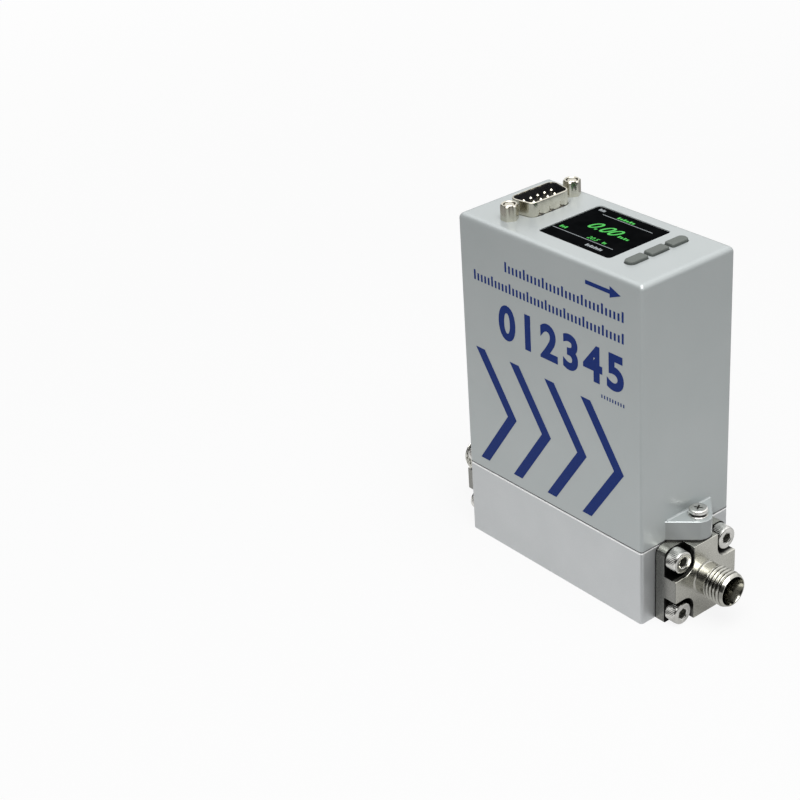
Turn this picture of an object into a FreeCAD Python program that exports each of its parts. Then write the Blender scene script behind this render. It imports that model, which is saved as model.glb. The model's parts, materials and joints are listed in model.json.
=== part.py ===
import FreeCAD, Part
import math
import os
from types import SimpleNamespace

import Sketcher

# Gas flow meter, in millimetres. X runs along the gas flow, from the inlet end to the outlet end,
# -Y is the printed front, Z is up, and the origin is the centre of the base's bottom face.

SIZES = {
    "body_length": 75.0,
    "body_width": 36.6,
    "body_height": 110.0,
    "base_height": 25.0,
    "base_chamfer": 0.4,
    "corner_radius": 1.0,
    "deck_radius": 1.8,
    "wall": 2.0,
    "deck_thickness": 2.5,
    "deck_shift": 1.0,
    "fit_gap": 0.05,
    "clear_gap": 0.2,
    "flow_height": 12.5,
    "channel_radius": 7.0,
    "channel_neck": 6.0,
    "restrictor_length": 14.0,
    "restrictor_bore": 0.9,
    "bore_ring": 2.6,
    "screen_radius": 7.6,
    "screen_thickness": 0.8,
    "snap_thickness": 0.8,
    "snap_depth": 0.6,
    "snap_width": 1.6,
    "snap_opening": 5.0,
    "seal_centre": 8.9,
    "seal_section": 0.9,
    "flange_width": 25.4,
    "plate_thickness": 4.0,
    "plate_corner": 2.6,
    "block_thickness": 4.3,
    "arm_across": 5.0,
    "arm_upright": 3.8,
    "notch_radius": 4.0,
    "neck_radius": 4.6,
    "neck_length": 3.3,
    "neck_fillet": 1.0,
    "thread_radius": 5.55,
    "thread_length": 7.3,
    "thread_chamfer": 0.7,
    "thread_lead": 1.4,
    "mouth_radius": 4.55,
    "mouth_depth": 4.0,
    "tube_socket": 3.2,
    "tube_depth": 9.0,
    "gas_bore": 2.4,
    "cap_across": 18.4,
    "cap_upright": 18.0,
    "cap_radius": 2.0,
    "cap_length": 12.0,
    "cap_head": 3.5,
    "cap_head_height": 4.0,
    "cap_socket": 3.0,
    "cap_socket_depth": 2.2,
    "small_radius": 1.5,
    "small_head": 2.75,
    "small_head_height": 3.0,
    "small_socket": 2.5,
    "small_socket_depth": 1.5,
    "pan_head": 2.8,
    "pan_height": 1.5,
    "pan_length": 12.0,
    "cross_width": 0.7,
    "cross_length": 2.8,
    "cross_depth": 1.1,
    "washer_radius": 2.95,
    "washer_thickness": 0.4,
    "lock_radius": 2.5,
    "lock_thickness": 0.5,
    "lug_width": 19.6,
    "lug_radius": 4.2,
    "lug_thickness": 6.5,
    "lug_gap": 0.2,
    "lug_reach": 3.9,
    "lug_edge": 0.25,
    "tapped_depth": 7.0,
    "tail_gap": 1.0,
    "cover_seal_width": 0.8,
    "cover_seal_depth": 1.0,
    "foot_across": 26.0,
    "foot_along": 40.0,
    "foot_drill": 1.65,
    "foot_depth": 8.0,
    "drill_angle": 118.0,
    "sensor_port_inset": 1.9,
    "sensor_port": 1.0,
    "sensor_length": 37.0,
    "sensor_side_gap": 12.3,
    "sensor_height": 8.0,
    "sensor_edge": 0.6,
    "sensor_bore": 0.4,
    "sensor_screw_inset": 2.7,
    "sensor_thread": 4.0,
    "port_seal_centre": 1.7,
    "port_seal_section": 0.6,
    "capillary_radius": 0.55,
    "capillary_socket": 2.0,
    "capillary_rise": 12.0,
    "capillary_bend": 3.0,
    "winding_radius": 1.3,
    "winding_length": 4.5,
    "winding_gap": 1.5,
    "can_end_gap": 0.35,
    "can_side_step": 1.0,
    "can_height": 18.0,
    "can_wall": 0.8,
    "can_radius": 1.5,
    "plug_length": 10.0,
    "plug_height": 4.0,
    "plug_above": 8.0,
    "board_thickness": 1.6,
    "board_inset": 9.3,
    "board_length": 62.0,
    "board_rise": 13.0,
    "board_gap": 4.4,
    "board_hole_along": 44.0,
    "board_hole_inset": 7.5,
    "spacer_length": 2.5,
    "spacer_radius": 2.5,
    "bracket_thickness": 1.2,
    "bracket_length": 52.0,
    "bracket_drop": 3.0,
    "bracket_foot": 7.0,
    "bracket_bend": 0.8,
    "bracket_window_along": 34.0,
    "bracket_window_upright": 30.0,
    "foot_screw_along": 44.0,
    "chip_side": 12.0,
    "chip_height": 1.4,
    "chip_edge": 0.3,
    "capacitor_radius": 3.0,
    "capacitor_height": 5.0,
    "capacitor_rise": 10.0,
    "header_length": 24.0,
    "header_width": 2.4,
    "header_overlap": 7.0,
    "deck_board_depth": 7.0,
    "deck_board_end_gap": 1.5,
    "deck_board_side_gap": 0.8,
    "boss_radius": 2.2,
    "boss_end_inset": 5.7,
    "boss_side_inset": 5.3,
    "boss_drill": 0.9,
    "boss_screw_length": 5.0,
    "boss_head": 1.8,
    "boss_head_height": 1.3,
    "window_centre": 3.9,
    "window_length": 28.6,
    "window_width": 24.8,
    "window_radius": 1.2,
    "window_recess": 0.3,
    "window_thickness": 1.2,
    "window_ledge": 1.8,
    "display_margin": 0.4,
    "display_glass": 1.6,
    "key_inset": 13.2,
    "key_shift": 1.05,
    "key_pitch": 8.2,
    "key_length": 6.9,
    "key_width": 3.5,
    "key_proud": 0.8,
    "key_corner": 0.6,
    "key_round": 1.6,
    "key_edge": 0.35,
    "key_gap": 0.15,
    "key_flange_length": 7.5,
    "key_flange_width": 5.6,
    "key_flange_height": 1.0,
    "key_stem_radius": 1.5,
    "key_stem_length": 0.6,
    "switch_length": 6.0,
    "switch_width": 3.8,
    "switch_height": 2.1,
    "plunger_radius": 1.25,
    "plunger_length": 1.7,
    "key_travel": 0.5,
    "connector_inset": 15.2,
    "shell_end_gap": 3.45,
    "shell_width": 9.1,
    "shell_slant": 0.176,
    "shell_corner": 2.4,
    "shell_wall": 0.45,
    "shell_rise": 4.4,
    "shell_lip": 0.2,
    "dimple_radius": 1.3,
    "dimple_depth": 0.35,
    "dimple_height": 1.8,
    "dimple_pitch": 4.2,
    "ear_end_gap": 1.2,
    "ear_width": 12.5,
    "ear_thickness": 0.8,
    "ear_corner": 1.5,
    "insulator_rise": 0.9,
    "insulator_lap": 0.75,
    "insulator_width": 10.4,
    "pin_pitch": 2.77,
    "pin_rows": 2.84,
    "pin_radius": 0.5,
    "pin_rise": 3.5,
    "pin_tip": 0.35,
    "pin_tail": 1.0,
    "jack_inset": 2.6,
    "jack_across_flats": 4.75,
    "jack_height": 4.8,
    "jack_shank": 1.4,
    "jack_thread": 1.2,
    "jack_thread_depth": 4.0,
    "jack_chamfer": 0.35,
    "nut_across_flats": 5.0,
    "nut_height": 1.8,
    "print_thickness": 0.06,
    "chevron_inset": 5.6,
    "chevron_pitch": 15.07,
    "chevron_length": 17.2,
    "chevron_stroke": 3.9,
    "chevron_height": 39.0,
    "chevron_rise": 3.7,
}

FLANGE_SIDES = {"inlet": -1, "outlet": 1}
KEY_ROWS = {"front": -1, "middle": 0, "back": 1}
CHEVRONS = 4
BORE_RINGS = 2
FIRST_ROW_PIN_COUNT = 5
SECOND_ROW_PIN_COUNT = 4
# place along the board and below its upper screws, then length and width as shares of the largest chip
CHIPS = {
    "processor": (-14, 10, 1.0, 1.0),
    "memory": (12, 8, 0.7, 0.5),
    "supply_chip": (16, 24, 0.6, 0.6),
}
# place along the board
CAPACITORS = {"first_capacitor": -22, "second_capacitor": -14}
# bevels and crown of a screw, as shares of its radius, head radius and head height
TIP_BEVEL = 0.25
HEAD_BEVEL = 0.1
PAN_CROWN = 0.45
SIDES = (-1, 1)
CORNERS = [(across, along) for across in SIDES for along in SIDES]
FLAT_TO_CORNER = 1.1547
TOLERANCE = 0.001

V = FreeCAD.Vector
doc = FreeCAD.newDocument("gas_flow_meter")
sheet = doc.addObject("Spreadsheet::Sheet", "Sizes")
nodes = []


class Size:
    """A length with the text that ties a property to the sheet."""

    def __init__(self, text, value):
        self.text = text
        self.value = value

    def __add__(self, other):
        return join(self, "+", other, self.value + size(other).value)

    def __radd__(self, other):
        return size(other) + self

    def __sub__(self, other):
        return join(self, "-", other, self.value - size(other).value)

    def __rsub__(self, other):
        return size(other) - self

    def __mul__(self, other):
        return join(self, "*", other, self.value * size(other).value)

    def __rmul__(self, other):
        return size(other) * self

    def __truediv__(self, other):
        return join(self, "/", other, self.value / size(other).value)

    def __neg__(self):
        return size(-1) * self


def size(number):
    if isinstance(number, Size):
        return number
    return Size("(%r)" % float(number), float(number))


def join(first, sign, second, value):
    return Size("(%s %s %s)" % (first.text, sign, size(second).text), value)


def fill_sheet():
    """Writes every driving dimension to the sheet, and returns them by name."""
    cells = SimpleNamespace()
    for row, (alias, number) in enumerate(SIZES.items(), 1):
        sheet.set("A%d" % row, alias)
        sheet.set("B%d" % row, str(number))
        sheet.setAlias("B%d" % row, alias)
        setattr(cells, alias, Size("Sizes." + alias, number))
    doc.recompute()
    return cells


s = fill_sheet()


def bind(thing, name, value):
    thing.setExpression(name, size(value).text)


def place(thing, spot, turn=None):
    """Puts an object at a spot, turned by (axis, degrees) where given."""
    if turn:
        thing.Placement = FreeCAD.Placement(V(0, 0, 0), FreeCAD.Rotation(V(*turn[0]), turn[1]))
    for axis, value in zip("xyz", spot):
        bind(thing, "Placement.Base." + axis, value)
    return thing


def node(thing, label):
    thing.Label = label
    nodes.append(thing)
    return thing


def new_body(label):
    body = doc.addObject("PartDesign::Body", label)
    body.Label = label
    return body


def new_sketch(body, role, shift=(0, 0, 0)):
    sketch = body.newObject("Sketcher::SketchObject", body.Name + "_sketch")
    plane = next(item for item in body.Origin.OriginFeatures if item.Role == role)
    sketch.AttachmentSupport = (plane, [""])
    sketch.MapMode = "FlatFace"
    for axis, value in zip("xyz", shift):
        bind(sketch, "AttachmentOffset.Base." + axis, value)
    return sketch


def hold_point(sketch, line, end, spot):
    for kind, value in zip(("DistanceX", "DistanceY"), spot):
        value = size(value)
        rule = Sketcher.Constraint(kind, -1, 1, line, end, value.value)
        number = sketch.addConstraint(rule)
        sketch.setExpression("Constraints[%d]" % number, value.text)


def polygon(sketch, points, construction=False):
    corners = [V(size(x).value, size(y).value, 0) for x, y in points]
    first = sketch.GeometryCount
    for index, corner in enumerate(corners):
        following = corners[(index + 1) % len(corners)]
        sketch.addGeometry(Part.LineSegment(corner, following), construction)
    for index, point in enumerate(points):
        before = first + (index - 1) % len(points)
        sketch.addConstraint(Sketcher.Constraint("Coincident", before, 2, first + index, 1))
        hold_point(sketch, first + index, 1, point)


def rounded_polygon(sketch, points, radius):
    """Lines and arcs that stay on the construction lines of the sharp outline, points anticlockwise."""
    radius = size(radius)
    count = len(points)
    sharp = sketch.GeometryCount
    polygon(sketch, points, True)
    corners = [V(size(x).value, size(y).value, 0) for x, y in points]
    bends = []
    for index, corner in enumerate(corners):
        bends.append(bend_points(corners[index - 1], corner, corners[(index + 1) % count], radius.value))
    first = sketch.GeometryCount
    for index in range(count):
        start, stop = bends[index][2], bends[(index + 1) % count][0]
        sketch.addGeometry(Part.LineSegment(start, stop), False)
        for end in (1, 2):
            sketch.addConstraint(Sketcher.Constraint("PointOnObject", first + index, end, sharp + index))
    for index in range(count):
        arc = sketch.addGeometry(Part.Arc(*bends[index]), False)
        before = first + (index - 1) % count
        sketch.addConstraint(Sketcher.Constraint("Tangent", before, 2, arc, 1))
        sketch.addConstraint(Sketcher.Constraint("Tangent", arc, 2, first + index, 1))
        number = sketch.addConstraint(Sketcher.Constraint("Radius", arc, radius.value))
        sketch.setExpression("Constraints[%d]" % number, radius.text)


def bend_points(before, corner, after, radius):
    """Start, middle and end of the arc that rounds a corner."""
    back = (before - corner).normalize()
    ahead = (after - corner).normalize()
    inward = (back + ahead).normalize()
    half = back.getAngle(ahead) / 2
    reach = radius / math.tan(half)
    middle = corner + inward * (radius / math.sin(half) - radius)
    return corner + back * reach, middle, corner + ahead * reach


def rectangle(sketch, centre, length, width):
    x, y = centre
    half_length = size(length) / 2
    half_width = size(width) / 2
    polygon(sketch, [
        (x - half_length, y - half_width),
        (x + half_length, y - half_width),
        (x + half_length, y + half_width),
        (x - half_length, y + half_width),
    ])


def circle(sketch, centre, radius):
    x, y = (size(value).value for value in centre)
    radius = size(radius)
    index = sketch.addGeometry(Part.Circle(V(x, y, 0), V(0, 0, 1), radius.value), False)
    hold_point(sketch, index, 3, centre)
    number = sketch.addConstraint(Sketcher.Constraint("Radius", index, radius.value))
    sketch.setExpression("Constraints[%d]" % number, radius.text)


def hexagon(sketch, across_flats):
    """A regular hexagon about the sketch's origin, its flats facing along the sketch's Y."""
    flat = size(across_flats) / 2
    corner = flat * FLAT_TO_CORNER
    half = corner / 2
    polygon(sketch, [(corner, 0), (half, flat), (-half, flat), (-corner, 0), (-half, -flat), (half, -flat)])


def settle(body, feature, before, grows):
    """Recomputes, and stops where a feature failed or did nothing."""
    doc.recompute()
    after = body.Shape.Volume
    if not feature.isValid() or (after - before) * (1 if grows else -1) <= 0:
        found = (feature.Name, body.Label, before, after)
        raise RuntimeError("%s of %s changes nothing: %.4f to %.4f" % found)
    return feature


def volume(body):
    return body.Shape.Volume if body.Tip and not body.Shape.isNull() else 0.0


def pad(body, sketch, length, back=False):
    before = volume(body)
    feature = body.newObject("PartDesign::Pad", body.Name + "_pad")
    feature.Profile = sketch
    feature.Reversed = back
    bind(feature, "Length", length)
    return settle(body, feature, before, True)


def pocket(body, sketch, depth, back=False):
    """Cuts against the sketch's normal, or along it with back."""
    before = volume(body)
    feature = body.newObject("PartDesign::Pocket", body.Name + "_pocket")
    feature.Profile = sketch
    feature.Reversed = back
    bind(feature, "Length", depth)
    return settle(body, feature, before, False)


def turn(body, sketch, axis="H_Axis"):
    before = volume(body)
    feature = body.newObject("PartDesign::Revolution", body.Name + "_turned")
    feature.Profile = sketch
    feature.ReferenceAxis = (sketch, [axis])
    return settle(body, feature, before, True)


def groove(body, sketch, axis="H_Axis"):
    before = volume(body)
    feature = body.newObject("PartDesign::Groove", body.Name + "_groove")
    feature.Profile = sketch
    feature.ReferenceAxis = (sketch, [axis])
    return settle(body, feature, before, False)


def edges(body, test):
    shape = body.Tip.Shape
    found = ["Edge%d" % number for number, edge in enumerate(shape.Edges, 1) if test(edge)]
    if not found:
        raise RuntimeError("no edge found on " + body.Label)
    return found


def dress(body, kind, value, test):
    """Rounds or chamfers the edges of the last feature that pass the test."""
    names = edges(body, test)
    base = body.Tip
    feature = body.newObject("PartDesign::" + kind, body.Name + "_" + kind.lower())
    feature.Base = (base, names)
    bind(feature, "Radius" if kind == "Fillet" else "Size", value)
    doc.recompute()
    if not feature.isValid():
        raise RuntimeError("%s of %s failed" % (kind, body.Label))
    return feature


def near(first, second):
    return abs(size(first).value - size(second).value) < TOLERANCE


def straight(edge, axis):
    """True for a straight edge along the axis 0, 1 or 2."""
    first, last = edge.Vertexes[0].Point, edge.Vertexes[-1].Point
    span = last - first
    return near(edge.Length, span.Length) and near(abs(span[axis]), span.Length) and span.Length > TOLERANCE


def lies_at(edge, axis, value):
    return all(near(vertex.Point[axis], value) for vertex in edge.Vertexes)


def round_at(edge, axis, value, radius):
    is_circle = not edge.Degenerated and isinstance(edge.Curve, Part.Circle)
    return is_circle and near(edge.Curve.Radius, radius) and near(edge.Curve.Center[axis], value)


def primitive(kind, name, sizes, spot, rotation=None):
    thing = doc.addObject("Part::" + kind, name)
    for key, value in sizes.items():
        bind(thing, key, value)
    return place(thing, spot, rotation)


def copies(label, source, spots, rotation=None):
    """One node that holds a copy of a solid at each spot."""
    links = []
    for spot in spots:
        link = doc.addObject("App::Link", source.Name + "_copy")
        link.LinkedObject = source
        place(link, spot, rotation)
        links.append(link)
    group = doc.addObject("Part::Compound", label)
    group.Links = links
    return node(group, label)


half_length = s.body_length / 2
half_width = s.body_width / 2
deck_underside = s.body_height - s.deck_thickness
channel_top = s.flow_height + s.channel_radius
restrictor_half = s.restrictor_length / 2
sensor_top = s.base_height + s.sensor_height
sensor_width = s.body_width - 2 * s.sensor_side_gap
sensor_screw_pitch = s.sensor_length - 2 * s.sensor_screw_inset
can_length = sensor_screw_pitch - 2 * (s.small_head + s.can_end_gap)
can_width = sensor_width - 2 * s.can_side_step
sensor_pitch = can_length - 2 * (s.can_wall + s.sensor_port_inset)
deck_board_top = s.body_height - s.deck_board_depth
deck_board_underside = deck_board_top - s.board_thickness
board_top = deck_board_underside - s.board_gap
board_bottom = s.base_height + s.board_rise
board_front = half_width - s.board_inset
connector_centre = s.connector_inset - half_length
sight_length = s.window_length - 2 * s.window_ledge
sight_width = s.window_width - 2 * s.window_ledge
ear_length = s.body_width - 2 * (s.wall + s.ear_end_gap)
jack_pitch = ear_length - 2 * s.jack_inset
shell_length = jack_pitch - 2 * s.shell_end_gap
plunger_top = deck_underside - s.key_flange_height - s.key_stem_length
plunger_bottom = plunger_top - s.plunger_length
cap_spots = [(y * s.cap_across / 2, z * s.cap_upright / 2) for y, z in CORNERS]
lug_top = s.base_height + s.lug_gap + s.lug_thickness


def make_base():
    """Machined block with the gas channel, the sensor ports and every threaded hole."""
    body = new_body("base_block")
    outline = new_sketch(body, "XY_Plane")
    rectangle(outline, (0, 0), s.body_length, s.body_width)
    pad(body, outline, s.base_height)
    dress(body, "Fillet", s.corner_radius, lambda edge: straight(edge, 2))
    dress(body, "Chamfer", s.base_chamfer, lambda edge: lies_at(edge, 2, s.base_height))
    cut_channel(body)
    cut_top_holes(body)
    cut_end_holes(body)
    drill_foot_holes(body)
    return node(body, "base_block")


def cut_channel(body):
    snap_start = restrictor_half + s.snap_thickness + s.fit_gap
    snap_radius = s.channel_radius + s.snap_depth
    profile = new_sketch(body, "XZ_Plane", (0, s.flow_height, 0))
    polygon(profile, [
        (-half_length, 0),
        (-half_length, s.screen_radius),
        (s.screen_thickness - half_length, s.screen_radius),
        (s.screen_thickness - half_length, s.channel_radius),
        (-snap_start, s.channel_radius),
        (-snap_start, snap_radius),
        (-restrictor_half, snap_radius),
        (-restrictor_half, s.channel_radius),
        (restrictor_half, s.channel_radius),
        (restrictor_half, s.channel_neck),
        (half_length - s.screen_thickness, s.channel_neck),
        (half_length - s.screen_thickness, s.screen_radius),
        (half_length, s.screen_radius),
        (half_length, 0),
    ])
    groove(body, profile)


def cut_top_holes(body):
    top = (0, 0, s.base_height)
    ring = new_sketch(body, "XY_Plane", top)
    for inset in (s.wall / 2 - s.cover_seal_width / 2, s.wall / 2 + s.cover_seal_width / 2):
        rectangle(ring, (0, 0), s.body_length - 2 * inset, s.body_width - 2 * inset)
    pocket(body, ring, s.cover_seal_depth)
    ports = new_sketch(body, "XY_Plane", top)
    for side in SIDES:
        circle(ports, (side * sensor_pitch / 2, 0), s.sensor_port)
    pocket(body, ports, s.base_height - s.flow_height)
    threads = new_sketch(body, "XY_Plane", top)
    for side in SIDES:
        circle(threads, (side * sensor_screw_pitch / 2, 0), s.small_radius)
    pocket(body, threads, s.sensor_thread + s.clear_gap)
    feet = new_sketch(body, "XY_Plane", top)
    for side in SIDES:
        circle(feet, (side * s.foot_screw_along / 2, bracket_screw_row), s.small_radius)
    pocket(body, feet, s.tapped_depth)


def cut_end_holes(body):
    reach = s.cap_length - s.plate_thickness
    for side in SIDES:
        holes = new_sketch(body, "YZ_Plane", (0, s.flow_height, side * half_length))
        for spot in cap_spots:
            circle(holes, spot, s.cap_radius)
        pocket(body, holes, reach + s.tail_gap, back=side < 0)


def drill_foot_holes(body):
    """Four blind mounting holes, drilled from below."""
    centres = new_sketch(body, "XY_Plane")
    for x, y in CORNERS:
        circle(centres, (x * s.foot_along / 2, y * s.foot_across / 2), s.foot_drill)
    doc.recompute()
    before = volume(body)
    hole = body.newObject("PartDesign::Hole", "foot_holes")
    hole.Profile = centres
    hole.Reversed = True
    hole.DepthType = "Dimension"
    hole.DrillPoint = "Angled"
    bind(hole, "Diameter", 2 * s.foot_drill)
    bind(hole, "Depth", s.foot_depth)
    bind(hole, "DrillPointAngle", s.drill_angle)
    settle(body, hole, before, False)


def make_flange(name, side):
    """Flange with its integral tube fitting, drawn with its seat at x = 0 and the gas axis at z = 0."""
    top = s.base_height - s.flow_height
    middle = (top - s.flow_height) / 2
    block_face = s.plate_thickness + s.block_thickness
    body = new_body(name + "_flange")
    plate = new_sketch(body, "YZ_Plane")
    rectangle(plate, (0, middle), s.flange_width, s.base_height)
    pad(body, plate, s.plate_thickness)
    dress(body, "Fillet", s.plate_corner, lambda edge: straight(edge, 0) and lies_at(edge, 2, top))
    cross = new_sketch(body, "YZ_Plane", (0, 0, s.plate_thickness))
    half = s.flange_width / 2
    polygon(cross, [
        (-s.arm_across, -s.flow_height), (s.arm_across, -s.flow_height),
        (s.arm_across, -s.arm_upright), (half, -s.arm_upright),
        (half, s.arm_upright), (s.arm_across, s.arm_upright),
        (s.arm_across, top), (-s.arm_across, top),
        (-s.arm_across, s.arm_upright), (-half, s.arm_upright),
        (-half, -s.arm_upright), (-s.arm_across, -s.arm_upright),
    ])
    pad(body, cross, s.block_thickness)
    dress(body, "Fillet", s.notch_radius, lambda edge: straight(edge, 0) and is_notch(edge))
    add_fitting(body, block_face)
    cut_flange(body, block_face, top, side)
    place(body, (side * half_length, 0, s.flow_height), ((0, 0, 1), 0 if side > 0 else 180))
    return node(body, name + "_flange")


def is_notch(edge):
    point = edge.Vertexes[0].Point
    return near(abs(point.y), s.arm_across) and near(abs(point.z), s.arm_upright)


def add_fitting(body, block_face):
    neck_end = block_face + s.neck_length
    end = neck_end + s.thread_length
    rod = new_sketch(body, "XZ_Plane")
    polygon(rod, [
        (s.plate_thickness, 0),
        (s.plate_thickness, s.neck_radius),
        (neck_end, s.neck_radius),
        (neck_end + s.thread_chamfer, s.thread_radius),
        (end - s.thread_lead, s.thread_radius),
        (end, s.thread_radius - s.thread_chamfer),
        (end, 0),
    ])
    turn(body, rod)
    dress(body, "Fillet", s.neck_fillet, lambda edge: round_at(edge, 0, block_face, s.neck_radius))
    bore = new_sketch(body, "XZ_Plane")
    polygon(bore, [
        (0, 0),
        (0, s.gas_bore),
        (end - s.tube_depth, s.gas_bore),
        (end - s.tube_depth, s.tube_socket),
        (end - s.mouth_depth, s.tube_socket),
        (end, s.mouth_radius),
        (end, 0),
    ])
    groove(body, bore)


def cut_flange(body, block_face, top, side):
    inner = s.seal_centre - s.seal_section
    outer = s.seal_centre + s.seal_section
    ring = new_sketch(body, "XZ_Plane")
    polygon(ring, [(0, inner), (2 * s.seal_section, inner), (2 * s.seal_section, outer), (0, outer)])
    groove(body, ring)
    holes = new_sketch(body, "YZ_Plane", (0, 0, s.plate_thickness))
    for spot in cap_spots:
        circle(holes, spot, s.cap_radius + s.clear_gap)
    pocket(body, holes, s.plate_thickness)
    thread = new_sketch(body, "XY_Plane", (0, 0, top))
    circle(thread, (s.lug_reach, side * s.deck_shift), s.small_radius)
    pocket(body, thread, s.tapped_depth)


def make_flange_seal(name, side):
    seal = primitive(
        "Torus", name + "_flange_seal",
        {"Radius1": s.seal_centre, "Radius2": s.seal_section},
        (side * (half_length + s.seal_section), 0, s.flow_height), ((0, 1, 0), 90))
    return node(seal, name + "_flange_seal")


def make_disc(label, radius, thickness, spot):
    """Round plate or plug across the channel, with a bore in the middle and rings of six, twelve..."""
    body = new_body(label)
    rim = new_sketch(body, "YZ_Plane")
    circle(rim, (0, 0), radius)
    pad(body, rim, thickness)
    for ring in range(BORE_RINGS + 1):
        bore = new_sketch(body, "YZ_Plane", (0, 0, thickness))
        circle(bore, (ring * s.bore_ring, 0), s.restrictor_bore)
        feature = pocket(body, bore, thickness)
        if ring:
            repeat_around(body, feature, 6 * ring)
    place(body, spot)
    return node(body, label)


def repeat_around(body, feature, count):
    before = volume(body)
    pattern = body.newObject("PartDesign::PolarPattern", body.Name + "_ring")
    pattern.Originals = [feature]
    axis = next(item for item in body.Origin.OriginFeatures if item.Role == "X_Axis")
    pattern.Axis = (axis, [""])
    pattern.Angle = 360
    pattern.Occurrences = count
    body.Tip = pattern
    settle(body, pattern, before, False)


def make_flow_parts():
    """The laminar restrictor with its snap ring, and a screen at each end of the channel."""
    discs = (
        ("flow_restrictor", s.channel_radius, s.restrictor_length, -restrictor_half),
        ("inlet_screen", s.screen_radius, s.screen_thickness, -half_length),
        ("outlet_screen", s.screen_radius, s.screen_thickness, half_length - s.screen_thickness),
    )
    for label, radius, thickness, start in discs:
        make_disc(label, radius - s.fit_gap, thickness, (start, 0, s.flow_height))
    snap = new_body("restrictor_ring")
    outer = s.channel_radius + s.snap_depth - s.fit_gap
    ring = new_sketch(snap, "YZ_Plane")
    circle(ring, (0, 0), outer)
    circle(ring, (0, 0), outer - s.snap_width)
    pad(snap, ring, s.snap_thickness)
    mouth = new_sketch(snap, "YZ_Plane", (0, 0, s.snap_thickness))
    rectangle(mouth, (0, -outer), s.snap_opening, 4 * s.snap_width)
    pocket(snap, mouth, s.snap_thickness)
    place(snap, (-restrictor_half - s.snap_thickness, 0, s.flow_height))
    node(snap, "restrictor_ring")


def make_cap_screw(name, radius, length, head, head_height, socket, socket_depth):
    """Socket head cap screw with the head's seat at z = 0 and the head above it."""
    body = new_body(name)
    profile = new_sketch(body, "XZ_Plane")
    bevel = radius * TIP_BEVEL
    crown = head * HEAD_BEVEL
    polygon(profile, [
        (0, -length), (radius - bevel, -length), (radius, bevel - length), (radius, 0),
        (head, 0), (head, head_height - crown), (head - crown, head_height), (0, head_height),
    ])
    turn(body, profile, "V_Axis")
    key = new_sketch(body, "XY_Plane", (0, 0, head_height))
    hexagon(key, socket)
    pocket(body, key, socket_depth)
    return body


def make_pan_screw(name, radius, length, head, height):
    """Pan head screw with a cross recess, its head's seat at z = 0."""
    body = new_body(name)
    profile = new_sketch(body, "XZ_Plane")
    bevel = radius * TIP_BEVEL
    crown = height * PAN_CROWN
    polygon(profile, [
        (0, -length), (radius - bevel, -length), (radius, bevel - length), (radius, 0), (head, 0),
        (head, height - crown), (head - crown, height - crown / 4), (head / 2, height), (0, height),
    ])
    turn(body, profile, "V_Axis")
    for length_x, length_y in ((s.cross_length, s.cross_width), (s.cross_width, s.cross_length)):
        slot = new_sketch(body, "XY_Plane", (0, 0, height))
        rectangle(slot, (0, 0), length_x * head / s.pan_head, length_y * head / s.pan_head)
        pocket(body, slot, s.cross_depth * head / s.pan_head)
    return body


def make_washer(name, radius, bore, thickness):
    body = new_body(name)
    ring = new_sketch(body, "XY_Plane")
    circle(ring, (0, 0), radius)
    circle(ring, (0, 0), bore)
    pad(body, ring, thickness)
    return body


def make_end_screws():
    cap = make_cap_screw("cap_screw", s.cap_radius, s.cap_length, s.cap_head, s.cap_head_height,
                         s.cap_socket, s.cap_socket_depth)
    for name, side in FLANGE_SIDES.items():
        spots = [(side * (half_length + s.plate_thickness), y, s.flow_height + z) for y, z in cap_spots]
        copies(name + "_flange_screws", cap, spots, ((0, 1, 0), side * 90))
    flat = make_washer("flat_washer", s.washer_radius, s.small_radius + s.fit_gap, s.washer_thickness)
    lock = make_washer("lock_washer", s.lock_radius, s.small_radius + s.fit_gap, s.lock_thickness)
    screw = make_pan_screw("pan_screw", s.small_radius, s.pan_length, s.pan_head, s.pan_height)
    stack = (
        ("lug_washers", flat, lug_top),
        ("lug_lock_washers", lock, lug_top + s.washer_thickness),
        ("lug_screws", screw, lug_top + s.washer_thickness + s.lock_thickness),
    )
    for label, source, level in stack:
        copies(label, source, [(side * (half_length + s.lug_reach), s.deck_shift, level) for side in SIDES])


def make_housing():
    """Hollow cover: the deck with its openings, four bosses under it and a lug at each end."""
    body = new_body("housing")
    outline = new_sketch(body, "XY_Plane", (0, 0, s.base_height))
    rectangle(outline, (0, 0), s.body_length, s.body_width)
    pad(body, outline, s.body_height - s.base_height)
    dress(body, "Fillet", s.corner_radius, lambda edge: straight(edge, 2))
    dress(body, "Fillet", s.deck_radius, lambda edge: lies_at(edge, 2, s.body_height))
    for side in SIDES:
        add_lug(body, side)
    inside = new_sketch(body, "XY_Plane", (0, 0, s.base_height))
    rectangle(inside, (0, 0), s.body_length - 2 * s.wall, s.body_width - 2 * s.wall)
    pocket(body, inside, deck_underside - s.base_height, back=True)
    bosses = new_sketch(body, "XY_Plane", (0, 0, deck_board_top))
    for spot in boss_spots:
        circle(bosses, spot, s.boss_radius)
    pad(body, bosses, s.deck_thickness / 2 + deck_underside - deck_board_top)
    drills = new_sketch(body, "XY_Plane", (0, 0, deck_board_top))
    for spot in boss_spots:
        circle(drills, spot, s.boss_drill)
    pocket(body, drills, s.boss_screw_length, back=True)
    cut_window(body)
    cut_key_openings(body)
    cut_connector_opening(body)
    return node(body, "housing")


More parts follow.
